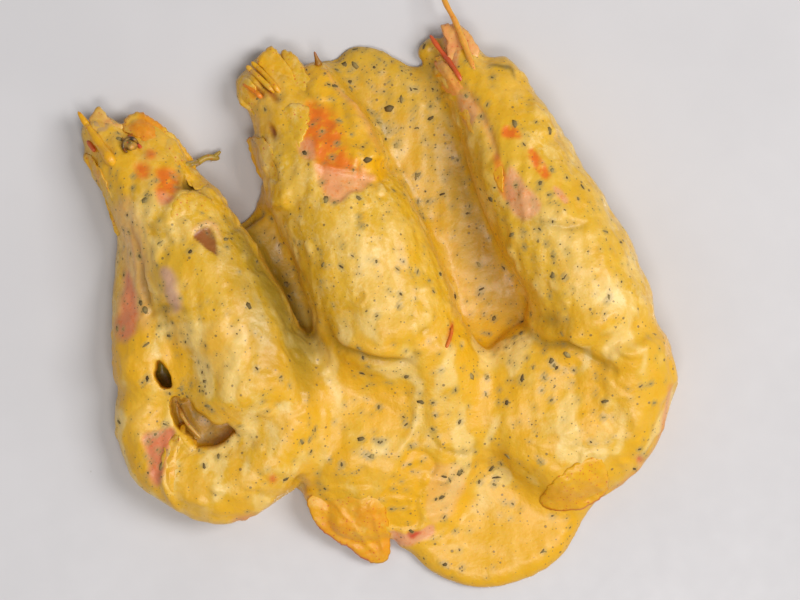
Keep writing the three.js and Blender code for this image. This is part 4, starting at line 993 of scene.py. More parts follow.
def vertex_normals(points, quads):
    """Unit normals at the vertices: the sum of the crossed diagonals of the quads round each."""
    corners = points[quads]
    face = np.cross(corners[:, 2] - corners[:, 0], corners[:, 3] - corners[:, 1])
    normals = np.stack([
        np.bincount(quads.ravel(), np.repeat(face[:, axis], 4), len(points)) for axis in range(3)
    ], axis=1)
    return normals / np.maximum(np.linalg.norm(normals, axis=1, keepdims=True), 1e-9)


def relaxed(points, quads, times):
    """Moves each vertex half way to the mean of its neighbours."""
    neighbours = np.concatenate([quads[:, [0, 1]], quads[:, [1, 2]], quads[:, [2, 3]], quads[:, [3, 0]]])
    shares = np.bincount(neighbours[:, 0], minlength=len(points))[:, None]
    for _ in range(times):
        ends = points[neighbours[:, 1]]
        mean = np.stack([
            np.bincount(neighbours[:, 0], ends[:, axis], len(points)) for axis in range(3)
        ], axis=1) / shares
        points = 0.5 * points + 0.5 * mean
    return points


def ramp_between(ends, heights, x, y):
    """Heights that go evenly from one end of a line to the other."""
    start, run = np.array(ends[0], float), np.subtract(ends[1], ends[0])
    share = ((x - start[0]) * run[0] + (y - start[1]) * run[1]) / (run @ run)
    return heights[0] + (heights[1] - heights[0]) * np.clip(share, 0, 1)


def head_field(head, x, y, z):
    """A thin jagged shell that rises from its tip to its back and stoops towards its edge. The field is
    the soft maximum of what is over its top, under its underside and outside its outline."""
    edge = outline_distance(np.array(head["outline"], float), x, y)
    inward = np.clip(-edge / HEAD_SHOULDER, 0, 1)
    crown = ramp_between(head["rise"], head["tops"], x, y) * (0.6 + 0.4 * np.sqrt(1 - (1 - inward) ** 2))
    under = head["raised"] * smoothstep(0.5, 0, ramp_between(head["rise"], (0, 1), x, y)) - 2
    over = z - (WELL_LEVEL + crown)[..., None]
    below = (FOOD_LEVEL + under)[..., None] - z
    return soft_cut(soft_cut(over, below, HEAD_EDGE), edge[..., None], HEAD_EDGE)


def soft_cut(first, second, softness):
    """Smooth maximum: what is inside both fields, with its edge rounded."""
    return -soft_join(-first, -second, softness)


def cream_field(x, y, z):
    """Field of all the sauce, in millimetres, below zero inside it: the prawns' coats, heads, mounds, runs
    and pool flow into each other, and the holes are cut out of all but the pool."""
    flat = np.stack([x, y, 0 * x], axis=-1)
    field = None
    for prawn in PRAWNS.values():
        trunk, curl = (lying_field(body, x, y, z) for body in bodies_of(prawn))
        whole = soft_join(trunk, curl, CURL_JOIN)
        field = whole if field is None else soft_join(field, whole, PRAWN_JOIN)
    for head in HEADS:
        field = soft_join(field, head_field(head, x, y, z), HEAD_JOIN)
    for middle, half, top in MOUNDS:
        reach = np.hypot((x - middle[0]) / half[0], (y - middle[1]) / half[1])[..., None]
        power = reach ** MOUND_POWER + np.abs((z - WELL_LEVEL) / top) ** MOUND_POWER
        field = soft_join(field, (power ** (1 / MOUND_POWER) - 1) * top, MOUND_JOIN)
    for run in RUNS:
        body = (np.array(run["ends"], float), lambda share, run=run: blend_three(run["halves"], share),
                lambda share, run=run: blend_three(run["tops"], share))
        field = soft_join(field, lying_field(body, x, y, z), RUN_JOIN)
    for outline, bottom, _ in HOLES:
        edge = outline_distance(smooth_line(outline, 60, closed=True)[:-1], x, y) + waver(flat, HOLE_WAVER)
        pit = soft_cut(edge[..., None], WELL_LEVEL + bottom - z, HOLE_FLOOR)
        field = soft_cut(field, -pit, HOLE_LIP)
    pool = smooth_line(POOL_OUTLINE, 160, closed=True)[:-1]
    inward = np.maximum(outline_distance(pool, x, y) + POOL_EDGE, 0) / POOL_EDGE
    depth = POOL_DEPTH + waver(flat, POOL_WAVER)
    level = (z - FOOD_LEVEL) / depth[..., None]
    slab = (np.sqrt(inward[..., None] ** 2 + np.maximum(level, 0) ** 2) - 1) * POOL_DEPTH
    field = soft_join(field, slab, POOL_JOIN)
    return np.maximum(field, FOOD_LEVEL - z)


def mark_amount(points, half, x, y):
    """A mark's strength: a bell curve of the distance to its line, faded at both ends."""
    line = smooth_line(points, 24) if len(points) > 2 else np.array(points, float)
    distance, share = nearest_on_line(line, x, y)
    ends = 0.35 + 0.65 * np.sin(np.pi * share) ** 0.6
    return np.exp(-(distance / half) ** 2) * ends


def patch_amount(outline, softness, x, y):
    """A patch's strength: 1 inside its smooth outline, 0 outside, with a ragged edge."""
    edge = outline_distance(smooth_line(outline, 60, closed=True)[:-1], x, y)
    edge = edge + waver(np.stack([x, y, 0 * x], axis=-1), PATCH_WAVER)
    return smoothstep(softness / 2, -softness / 2, edge)


def lay_on(paint, colours, amount):
    """Adds paints where they are stronger than what is there."""
    for name, share in colours.items():
        paint[name] = np.maximum(paint[name], share * amount)


def cream_skin(step):
    """The skin of the cream's field, relaxed but for its underside, and which points are on that."""
    low, high = np.array([*FOOD_FROM, FOOD_LEVEL - 1.5 * step]), np.array(FOOD_TO)
    count = np.ceil((high - low) / step).astype(int)
    axes = [low[n] + step * np.arange(count[n]) for n in range(3)]
    x, y = np.meshgrid(axes[0], axes[1], indexing="ij")
    points, quads = skin_of(cream_field(x, y, axes[2][None, None, :]), low, step)
    under = points[:, 2] < FOOD_LEVEL + 0.05
    return np.where(under[:, None], points, relaxed(points, quads, RELAXED_TIMES)), quads, under


def own_relief(points, paint):
    """Height of the swells, lumps and fibres. The lumps are paler, and low cream is calm, with painted
    shade that grows towards the back. The front is richer, with pale and golden streaks along the tails;
    the pale streaks are partly paler sauce and partly a painted sheen."""
    warped = points + LUMP_WARP * np.stack([smooth_noise(points, 4, 71 + n) for n in range(3)], axis=1)
    lumps = smoothstep(0.05, 1.0, smooth_noise(warped, 2.5, 57))
    lumps = lumps * smoothstep(-0.3, 0.4, smooth_noise(points, 13, 58))
    fibres = smooth_noise(points * (1, 0.22, 1), 1.3, 65) * smoothstep(-14, 20, points[:, 1])
    height = waver(points, SWELLS) + LUMP_HEIGHT * lumps + FIBRE_HEIGHT * fibres
    low = smoothstep(FOOD_LEVEL + 7, FOOD_LEVEL + 4.4, points[:, 2])
    front = smoothstep(2, -10, points[:, 1])
    tails = front * smoothstep(-52, -44, points[:, 1])
    lobe = smoothstep(-42, -50, points[:, 1])
    streaks = smooth_noise(warped * (1, 0.3, 1), 3.0, 66)
    # Painted shade on the low sauce, darker towards the back, where it lies between the prawns.
    paint["deep"] = 0.17 * low * smoothstep(-10, 35, points[:, 1])
    paint["calm"] = np.maximum(low, 0.8 * tails * smoothstep(-24, -16, points[:, 0]))
    # The pale streaks along the tails are partly paler sauce and partly a painted sheen.
    pale_and_sheen_streaks = 0.7 * tails * smoothstep(0.25, 0.55, streaks)
    paint["pale"] = np.maximum(0.6 * lumps * (1 - 0.5 * front), pale_and_sheen_streaks)
    golden = front * (0.5 * smoothstep(0.3, 0, streaks) + 0.3 * smoothstep(-0.1, -0.5, streaks))
    paint["gold"] = np.maximum(golden, 0.6 * lobe)
    return height * (1 - 0.3 * low)


def worked_relief(points, upward, paint):
    """Height of the patches and marks. They and the holes' floors have their paint."""
    height = np.zeros(len(points))
    x, y, z = points.T
    for outline, softness, depth, colours in PATCHES:
        amount = patch_amount(outline, softness, x, y)
        height -= depth * amount
        lay_on(paint, colours, amount)
    # Painted shade on the holes' floors, with the pale taken out there.
    for outline, bottom, colours in HOLES:
        within = smoothstep(0.6, -0.2, outline_distance(np.array(outline), x, y))
        within = within * smoothstep(4.5, 1.5, z - WELL_LEVEL - bottom)
        lay_on(paint, colours, within)
        paint["pale"] = paint["pale"] * (1 - within)
    for line, half, rise, colours in MARKS:
        amount = mark_amount(line, half, x, y) * upward
        height += rise * amount
        lay_on(paint, colours, amount)
    return height


def cream_shape(sizes):
    """The cream's skin, moved along its normals by its relief, with its paint. Its underside is open."""
    step = sizes.cream_step / METRES * 1
    points, quads, under = cream_skin(step)
    normals = vertex_normals(points, quads)
    paint = {name: np.zeros(len(points)) for name in PAINTS}
    height = own_relief(points, paint)
    height = height + worked_relief(points, smoothstep(-0.1, 0.45, normals[:, 2]), paint)
    free = smoothstep(FOOD_LEVEL + 0.1, FOOD_LEVEL + 1.2, points[:, 2])
    points = points + normals * (height * free)[:, None]
    points[:, 2] = np.maximum(points[:, 2], FOOD_LEVEL)
    shape = Shape()
    shape.add(points, quads[~np.all(under[quads], axis=1)], **paint)
    return shape


def close_underside(piece):
    """Fills the open rim on the plate with a flat face and drops what is loose."""
    shell = bmesh.new()
    shell.from_mesh(piece.data)
    loose = [vertex for vertex in shell.verts if not vertex.link_faces]
    bmesh.ops.delete(shell, geom=loose, context="VERTS")
    rim = [edge for edge in shell.edges if edge.is_boundary]
    bmesh.ops.triangle_fill(shell, edges=rim, use_beauty=True, normal=Vector((0, 0, -1)))
    still_open = any(edge.is_boundary for edge in shell.edges)
    shell.to_mesh(piece.data)
    shell.free()
    if still_open:
        raise RuntimeError("the cream's underside isn't closed")


def set_input(tree, socket, value):
    """Gives a socket a value, or links another socket to it."""
    if isinstance(value, bpy.types.NodeSocket):
        tree.links.new(value, socket)
    else:
        socket.default_value = value


def add_node(tree, kind, values=None, **settings):
    """A node with its sockets set or linked."""
    node = tree.nodes.new(kind)
    for key, value in settings.items():
        setattr(node, key, value)
    for key, value in (values or {}).items():
        set_input(tree, node.inputs[key], value)
    return node


def colour4(colour):
    """A colour with its alpha."""
    return (*colour, 1)


def mix_colours(tree, share, first, second):
    """One colour over another; each may be a colour or a socket."""
    node = add_node(tree, "ShaderNodeMix", data_type="RGBA")
    for index, value in ((0, share), (6, first), (7, second)):
        set_input(tree, node.inputs[index], value)
    return node.outputs[2]


def calculate(tree, operation, first, second=0.0, clamp=False):
    """A sum of two numbers or sockets."""
    node = add_node(tree, "ShaderNodeMath", {0: first, 1: second}, operation=operation, use_clamp=clamp)
    return node.outputs[0]


def ramp(tree, value, low, high):
    """0 below low, 1 above high, eased between."""
    return add_node(tree, "ShaderNodeMapRange", {0: value, 1: low, 2: high},
                    interpolation_type="SMOOTHSTEP").outputs[0]


def noise(tree, place, scale, detail=3.0, roughness=0.5):
    """Noise on the piece's own coordinates; scale is features per metre."""
    return add_node(tree, "ShaderNodeTexNoise",
                    {"Vector": place, "Scale": scale, "Detail": detail, "Roughness": roughness}).outputs[0]


def new_group(name, inputs, outputs):
    """A node group with named sockets; each is (name, socket type, default)."""
    group = bpy.data.node_groups.new(name, "ShaderNodeTree")
    for in_out, sockets in (("INPUT", inputs), ("OUTPUT", outputs)):
        for label, kind, default in sockets:
            socket = group.interface.new_socket(label, in_out=in_out, socket_type=kind)
            if default is not None:
                socket.default_value = default
    return group, group.nodes.new("NodeGroupInput"), group.nodes.new("NodeGroupOutput")


def specks_group():
    """Specks: one in each cell of a Voronoi pattern, kept by a random number, with its own size."""
    group, start, end = new_group(
        "Specks",
        [("Vector", "NodeSocketVector", None), ("Scale", "NodeSocketFloat", 700.0),
         ("Share", "NodeSocketFloat", 0.4), ("Size", "NodeSocketFloat", 0.3)],
        [("Mask", "NodeSocketFloat", None)],
    )
    cells = add_node(group, "ShaderNodeTexVoronoi",
                     {"Vector": start.outputs["Vector"], "Scale": start.outputs["Scale"]})
    parts = add_node(group, "ShaderNodeSeparateColor", {0: cells.outputs["Color"]})
    kept = calculate(group, "LESS_THAN", parts.outputs[0], start.outputs["Share"])
    reach = calculate(group, "MULTIPLY", start.outputs["Size"], calculate(
        group, "ADD", calculate(group, "MULTIPLY", parts.outputs[1], 0.8), 0.2))
    closeness = calculate(group, "SUBTRACT", 1.0, calculate(
        group, "DIVIDE", cells.outputs["Distance"], reach))
    soft = add_node(group, "ShaderNodeMapRange", {0: closeness, 1: 0.0, 2: 0.45},
                    interpolation_type="SMOOTHSTEP").outputs[0]
    group.links.new(calculate(group, "MULTIPLY", soft, kept), end.inputs["Mask"])
    return group


def smears_group():
    """Smears: noise stretched by noise, as sauce runs, from 0 to 1."""
    group, start, end = new_group(
        "Smears",
        [("Vector", "NodeSocketVector", None), ("Scale", "NodeSocketFloat", 120.0)],
        [("Mask", "NodeSocketFloat", None)],
    )
    warp = add_node(group, "ShaderNodeTexNoise",
                    {"Vector": start.outputs["Vector"], "Scale": start.outputs["Scale"], "Detail": 2.0})
    stretch = add_node(group, "ShaderNodeVectorMath",
                       {0: warp.outputs["Color"], 1: (0.012, 0.012, 0.012)}, operation="MULTIPLY")
    place = add_node(group, "ShaderNodeVectorMath",
                     {0: start.outputs["Vector"], 1: stretch.outputs[0]}, operation="ADD")
    value = add_node(group, "ShaderNodeTexNoise",
                     {"Vector": place.outputs[0], "Scale": start.outputs["Scale"], "Detail": 4.0})
    group.links.new(ramp(group, value.outputs[0], 0.36, 0.64), end.inputs["Mask"])
    return group


def sauce_group():
    """The sauce's colour: streaks and blots of pale on yellow, sharp on some edges and soft on others. The
    pale is partly paler sauce and partly a painted sheen.
    """
    group, start, end = new_group(
        "Sauce",
        [("Vector", "NodeSocketVector", None), ("Yellow", "NodeSocketColor", None),
         ("Rich", "NodeSocketColor", None), ("Pale", "NodeSocketColor", None),
         ("Added", "NodeSocketFloat", 0.0), ("Calm", "NodeSocketFloat", 0.0)],
        [("Color", "NodeSocketColor", None)],
    )
    stretched = add_node(group, "ShaderNodeVectorMath",
                         {0: start.outputs["Vector"], 1: (1.0, 0.5, 1.0)}, operation="MULTIPLY").outputs[0]
    streaks = add_node(group, "ShaderNodeTexNoise", {
        "Vector": stretched, "Scale": 190.0, "Detail": 5.0, "Roughness": 0.55, "Distortion": 0.5})
    blots = add_node(group, "ShaderNodeTexNoise", {
        "Vector": start.outputs["Vector"], "Scale": 430.0, "Detail": 5.0, "Roughness": 0.6,
        "Distortion": 0.8})
    grains = add_node(group, "ShaderNodeTexNoise", {
        "Vector": start.outputs["Vector"], "Scale": 1050.0, "Detail": 4.0, "Roughness": 0.65,
        "Distortion": 0.4})
    veins = add_node(group, "ShaderNodeTexNoise", {
        "Vector": stretched, "Scale": 310.0, "Detail": 4.0, "Roughness": 0.6, "Distortion": 1.0})
    broad = noise(group, start.outputs["Vector"], 60.0, 2.0)
    pale = calculate(group, "MULTIPLY", ramp(group, streaks.outputs[0], 0.48, 0.6), 0.46)
    pale = calculate(group, "ADD", pale, calculate(
        group, "MULTIPLY", ramp(group, blots.outputs[0], 0.52, 0.63), 0.36))
    pale = calculate(group, "ADD", pale, calculate(
        group, "MULTIPLY", ramp(group, grains.outputs[0], 0.5, 0.64), 0.3))
    rich = calculate(group, "MULTIPLY", ramp(group, veins.outputs[0], 0.5, 0.6), 0.75)
    pale = calculate(group, "MULTIPLY", pale, ramp(group, broad, 0.3, 0.55))
    lively = calculate(group, "SUBTRACT", 1.0, calculate(group, "MULTIPLY", start.outputs["Calm"], 0.75))
    pale = calculate(group, "MULTIPLY", pale, lively)
    pale = calculate(group, "ADD", pale, start.outputs["Added"], clamp=True)
    yellow = mix_colours(group, rich, start.outputs["Yellow"], start.outputs["Rich"])
    group.links.new(mix_colours(group, pale, yellow, start.outputs["Pale"]), end.inputs["Color"])
    return group


def place_group(tree, name, build, values):
    """A group by name, built the first time it is asked for."""
    group = bpy.data.node_groups.get(name) or build()
    node = tree.nodes.new("ShaderNodeGroup")
    node.node_tree = group
    for key, value in values.items():
        set_input(tree, node.inputs[key], value)
    return node.outputs[0]


def new_material(name, **settings):
    """A material with its Principled shader, whose uniform values are set on its sockets."""
    material = bpy.data.materials.new(name)
    material.use_nodes = True
    tree = material.node_tree
    shader = tree.nodes["Principled BSDF"]
    for key, value in settings.items():
        shader.inputs[key.replace("_", " ")].default_value = value
    place = add_node(tree, "ShaderNodeTexCoord").outputs["Object"]
    return material, tree, shader, place


def painted(tree, name):
    """The strength of a paint."""
    return add_node(tree, "ShaderNodeAttribute", attribute_name=name).outputs["Fac"]


def lay_colours(tree, colour, layers):
    """Lays colours over one another where they are painted; each layer is (paint, colour)."""
    for name, layer in layers:
        colour = mix_colours(tree, painted(tree, name), colour, layer)
    return colour


def finish_surface(tree, shader, colour, grain, roughness, relief, strength, distance):
    """Links the colour, the roughness, between two values by the grain, and the relief as a bump."""
    tree.links.new(colour, shader.inputs["Base Color"])
    rough = add_node(tree, "ShaderNodeMapRange",
                     {0: grain, 1: 0.3, 2: 0.7, 3: roughness[0], 4: roughness[1]})
    tree.links.new(rough.outputs[0], shader.inputs["Roughness"])
    bump = add_node(tree, "ShaderNodeBump", {"Strength": strength, "Distance": distance, "Height": relief})
    tree.links.new(bump.outputs[0], shader.inputs["Normal"])


def cream_material(colours):
    """Satin sauce: mottled yellow, its pale partly a painted sheen, with the painted colours, among them
    painted shade, specks and dust of truffle, and fine beads.
    """
    material, tree, shader, place = new_material(
        "truffle_cream", Subsurface_Weight=0.08, Subsurface_Radius=(1.0, 0.45, 0.12),
        Subsurface_Scale=0.002, IOR=1.45, Coat_Weight=0.22, Coat_Roughness=0.28)
    colour = place_group(tree, "Sauce", sauce_group, {
        "Vector": place, "Yellow": colour4(colours.cream), "Rich": colour4(colours.cream_rich),
        "Pale": colour4(colours.cream_pale_and_sheen), "Added": painted(tree, "pale"),
        "Calm": painted(tree, "calm")})
    patchy = ramp(tree, noise(tree, place, 420.0, 5.0, 0.65), 0.24, 0.5)
    shell = mix_colours(tree, patchy, colour4(colours.shell_gold), colour4(colours.shell))
    freckled = calculate(tree, "MULTIPLY", ramp(tree, noise(tree, place, 900.0, 4.0, 0.7), 0.5, 0.66), 0.6)
    pink = mix_colours(tree, freckled, colour4(colours.shell_pink), colour4(colours.shell))
    colour = lay_colours(tree, colour, (
        ("gold", colour4(colours.shell_gold)),
        ("shell", shell),
        ("pink", pink),
        ("tan", colour4(colours.shell_tan)),
        ("purple", colour4(colours.shell_purple)),
        ("red", colour4(colours.shell_red)),
        ("brown", colour4(colours.shell_brown_and_shade)),
        ("olive", colour4(colours.cream_olive)),
        ("deep", colour4(colours.cream_dark_and_shade)),
        ("halo", colour4(colours.truffle_halo)),
    ))
    specks = place_group(tree, "Specks", specks_group,
                         {"Vector": place, "Scale": 540.0, "Share": 0.42, "Size": 0.24})
    dust = place_group(tree, "Specks", specks_group,
                       {"Vector": place, "Scale": 1250.0, "Share": 0.34, "Size": 0.34})
    dark = calculate(tree, "MAXIMUM", calculate(tree, "MULTIPLY", specks, 0.72),
                     calculate(tree, "MULTIPLY", dust, 0.62))
    colour = mix_colours(tree, dark, colour, colour4(colours.cream_specks))
    grain = noise(tree, place, 900.0, 4.0, 0.6)
    beads = noise(tree, place, 480.0, 3.0, 0.55)
    relief = calculate(tree, "ADD", calculate(tree, "MULTIPLY", grain, 0.5), beads)
    relief = calculate(tree, "ADD", relief, calculate(tree, "MULTIPLY", specks, 0.3))
    finish_surface(tree, shader, colour, grain, (0.34, 0.48), relief, 0.5, 0.0005)
    return material


def shell_material(colours):
    """Cooked shell: orange and gold smears with freckles, under a film of sauce where it is painted."""
    material, tree, shader, place = new_material(
        "prawn_shell", Subsurface_Weight=0.1, Subsurface_Radius=(1.0, 0.35, 0.12),
        Subsurface_Scale=0.002, IOR=1.45, Coat_Weight=0.2, Coat_Roughness=0.26)
    broad = place_group(tree, "Smears", smears_group, {"Vector": place, "Scale": 170.0})
    fine = place_group(tree, "Smears", smears_group, {"Vector": place, "Scale": 420.0})
    colour = mix_colours(tree, broad, colour4(colours.shell), colour4(colours.shell_gold))
    colour = lay_colours(tree, colour, (
        ("shell", colour4(colours.shell)),
        ("gold", colour4(colours.shell_gold)),
        ("tan", colour4(colours.shell_tan)),
    ))
    film = calculate(tree, "ADD", calculate(tree, "MULTIPLY", fine, 0.2), painted(tree, "film"), clamp=True)
    sauce = place_group(tree, "Sauce", sauce_group, {
        "Vector": place, "Yellow": colour4(colours.cream), "Rich": colour4(colours.cream_rich),
        "Pale": colour4(colours.cream_pale_and_sheen)})
    colour = mix_colours(tree, film, colour, sauce)
    colour = lay_colours(tree, colour, (
        ("olive", colour4(colours.shell_olive)),
        ("pink", colour4(colours.shell_pink)),
        ("red", colour4(colours.shell_red)),
        ("pale", colour4(colours.cream_pale_and_sheen)),
        ("deep", colour4(colours.shell_dark)),
    ))
    freckles = place_group(tree, "Specks", specks_group,
                           {"Vector": place, "Scale": 1500.0, "Share": 0.5, "Size": 0.42})
    colour = mix_colours(tree, calculate(tree, "MULTIPLY", freckles, 0.7), colour,
                         colour4(colours.shell_red))
    grain = noise(tree, place, 1400.0, 3.0, 0.6)
    finish_surface(tree, shader, colour, grain, (0.32, 0.46), grain, 0.4, 0.0003)
    return material


def truffle_material(colours):
    """Dull truffle, lighter where sauce coats it, with a lighter grain."""
    material, tree, shader, place = new_material("truffle", Specular_IOR_Level=0.12)
    grain = noise(tree, place, 1800.0, 4.0, 0.65)
    colour = mix_colours(tree, painted(tree, "pale"), colour4(colours.truffle),
                         colour4(colours.truffle_coated))
    colour = mix_colours(tree, ramp(tree, grain, 0.5, 0.75), colour, colour4(colours.truffle_grain))
    finish_surface(tree, shader, colour, grain, (0.5, 0.7), grain, 0.6, 0.0002)
    return material


def glaze_material(colours):
    """Glossy glaze with faint clouds, pits and waves."""
    material, tree, shader, place = new_material("porcelain_glaze", IOR=1.5, Coat_Weight=0.5,
                                                 Coat_Roughness=0.04)
    cloud = noise(tree, place, 28.0, 2.0)
    colour = mix_colours(tree, ramp(tree, cloud, 0.35, 0.65), colour4(colours.glaze),
                         colour4([0.97 * part for part in colours.glaze]))
    pits = place_group(tree, "Specks", specks_group,
                       {"Vector": place, "Scale": 160.0, "Share": 0.08, "Size": 0.06})
    colour = mix_colours(tree, calculate(tree, "MULTIPLY", pits, 0.5), colour, colour4(colours.glaze_pits))
    grain = noise(tree, place, 240.0, 3.0)
    finish_surface(tree, shader, colour, grain, (0.14, 0.22), grain, 0.08, 0.0003)
    return material


def floor_material(colours):
    """A plain pale table top with faint clouds."""
    material, tree, shader, place = new_material("table_top")
    cloud = noise(tree, place, 6.0, 3.0)
    shade = mix_colours(tree, cloud, colour4(colours.floor),
                        colour4([0.97 * part for part in colours.floor]))
    tree.links.new(shade, shader.inputs["Base Color"])
    shader.inputs["Roughness"].default_value = 0.6
    return material


def plate_shape():
    """The plate's outline turned about its axis: foot ring, underside, rim and well, each a smooth
    curve through a few points of (radius, height)."""
    angle = np.radians(np.linspace(-35, 215, 12))
    rim = np.array(RIM_MIDDLE) + RIM_RADIUS * np.stack([np.cos(angle), np.sin(angle)], axis=1)
    profile = np.concatenate([PLATE_FOOT, smooth_line(PLATE_UNDER, 30), rim, smooth_line(PLATE_INNER, 34),
                              PLATE_WELL])
    angle = np.linspace(0, 2 * np.pi, PLATE_SIDES, endpoint=False)
    radius = profile[:, :1]
    rings = np.stack([radius * np.cos(angle), radius * np.sin(angle), profile[:, 1:] + 0 * angle], -1)
    shape = Shape()
    shape.add(*closed_rings(rings))
    return shape


def add_body(shape, body, inset, seed):
    """A trunk or curl under the sauce, with pink blots."""
    points, quads, fans = closed_rings(body_rings(body, inset))
    shape.add(points, quads, fans, pink=0.8 * smoothstep(0.1, 0.6, smooth_noise(points, 7, seed)))


def add_leaf(shape, leaf, top):
    """A blade of shell with its film of sauce, spot and rim."""
    rings, reach = leaf_rings(leaf, top)
    points, quads, fans = closed_rings(rings)
    reach = np.concatenate([reach.ravel(), [0, 0]])
    ragged = waver(points, ((1.4, 0.5, 91), (3.2, 0.5, 92)))
    paint = {name: np.full(len(points), leaf.get(name, 0.0)) for name in PAINTS}
    base = ramp_between(leaf["from_to"], (0, 1), points[:, 0], points[:, 1])
    veiled = 0.4 * smoothstep(0.7, 1, base) if "fade" in leaf else smoothstep(0.55, 1, base)
    paint["film"] = np.clip(paint["film"] + 0.5 * ragged + veiled, 0, 1)
    if "spot" in leaf:
        middle, radius, name = leaf["spot"]
        distance = np.hypot(points[:, 0] - middle[0], points[:, 1] - middle[1]) + 1.4 * ragged
        amount = smoothstep(radius, 0.5 * radius, distance)
        paint[name] = np.maximum(paint[name], 0.9 * amount)
        paint["film"] = paint["film"] * (1 - amount)
    if "rim" in leaf:
        middle, radius, name = leaf["rim"]
        distance = np.hypot(points[:, 0] - middle[0], points[:, 1] - middle[1])
        amount = smoothstep(0.93, 0.99, reach) * smoothstep(1.4 * radius, 0.9 * radius, distance)
        paint[name] = np.maximum(paint[name], amount)
        paint["film"] = paint["film"] * (1 - amount)
    shape.add(points, quads, fans, **paint)


def add_rod(shape, rod, top):
    """A feeler, with a core of bare shell along its top where it has one."""
    rings = rod_rings(rod["points"], rod["heights"], rod["thick"], top)
    points, quads, fans = closed_rings(rings)
    paint = {name: rod[name] for name in PAINTS if name in rod}
    if "core" in rod:
        angle = np.linspace(0, 2 * np.pi, rings.shape[1], endpoint=False)
        core = rod["core"] * smoothstep(0.5, 0.95, np.sin(angle))
        paint["shell"] = np.concatenate([np.tile(core, rings.shape[0]), [0, 0]])
    shape.add(points, quads, fans, **paint)


def add_eye(shape, place, top):
    """A dented ball on the cream with an open dark ring round it."""
    x, y = place
    middle = np.array([x, y, float(top(np.array(x), np.array(y))) + 0.2])
    rings = ball_rings(middle, EYE_BALL)
    rings = middle + (rings - middle) * (1 + 0.22 * smooth_noise(rings, 1.1, 77))[..., None]
    points, quads, fans = closed_rings(rings)
    shape.add(points, quads, fans, pale=0.3, deep=0.55 + 0.4 * smooth_noise(points, 0.9, 78))
    angle = np.radians(np.linspace(-30, 250, 40))
    line = np.stack([x + EYE_RING * np.cos(angle), y + EYE_RING * np.sin(angle)], axis=1)
    height = middle[2] - WELL_LEVEL + 0.5
    points, quads, fans = closed_rings(rod_rings(line, (height, height), EYE_RING_THICK, top))
    shape.add(points, quads, fans, deep=0.8 + 0.3 * smooth_noise(points, 0.8, 79))


def prawn_shape(prawn, inset, top):
    """A prawn: trunk and curl under the sauce, and the leaves, rods and eye that lie on it."""
    shape = Shape()
    for number, body in enumerate(bodies_of(prawn)):
        add_body(shape, body, inset, 61 + number)
    for leaf in prawn["leaves"]:
        add_leaf(shape, leaf, top)
    for rod in prawn["rods"]:
        add_rod(shape, rod, top)
    if "eye" in prawn:
        add_eye(shape, prawn["eye"], top)
    return shape


def lump():
    """A unit icosahedron: points and outward triangles."""
    solid = bmesh.new()
    bmesh.ops.create_icosphere(solid, subdivisions=1, radius=1)
    points = np.array([vertex.co for vertex in solid.verts])
    faces = np.array([[vertex.index for vertex in face.verts] for face in solid.faces])
    solid.free()
    return points, faces


def tint_round(mesh, pick, strength):
    """Paints a halo round the picked vertices that fades over two steps of the mesh."""
    halo = np.zeros(len(mesh.vertices))
    mesh.attributes["halo"].data.foreach_get("value", halo)
    added = np.zeros(len(halo))
    added[pick] = strength
    edges = np.empty(2 * len(mesh.edges), int)
    mesh.edges.foreach_get("vertices", edges)
    first, second = edges[::2], edges[1::2]
    ring = np.bincount(edges, minlength=len(halo))
    for _ in range(2):
        spread = np.bincount(first, added[second], len(halo)) + np.bincount(second, added[first], len(halo))
        added = np.maximum(added, 2.4 * spread / ring)
    mesh.attributes["halo"].data.foreach_set("value", np.maximum(halo, HALO * np.clip(added, 0, 1)))


def flake_chance(places, normals):
    """How likely a flake lies at each vertex: only on what faces up, most in the pool, fewest on the front
    lobe, and in loose drifts."""
    chance = smoothstep(0.25, 0.7, normals[:, 2]) * (places[:, 2] > FOOD_LEVEL + 0.4)
    chance = chance * np.where(places[:, 2] < 14, 1.0, 0.5)
    chance = chance * (0.35 + 0.65 * smoothstep(-46, -34, places[:, 1]))
    chance *= 0.4 + 0.6 * smoothstep(-0.3, 0.4, smooth_noise(places, 16, 23))
    return chance / chance.sum()


def laid_flat(chips, up, turn):
    """Chips with their thin side along up, each turned about it by its own angle."""
    side = np.stack([np.cos(turn), np.sin(turn), 0 * turn], axis=1)
    side -= up * np.sum(side * up, axis=1, keepdims=True)
    side /= np.linalg.norm(side, axis=1, keepdims=True)
    basis = np.stack([side, np.cross(up, side), up], axis=1)
    return np.einsum("nvi,nij->nvj", chips, basis)


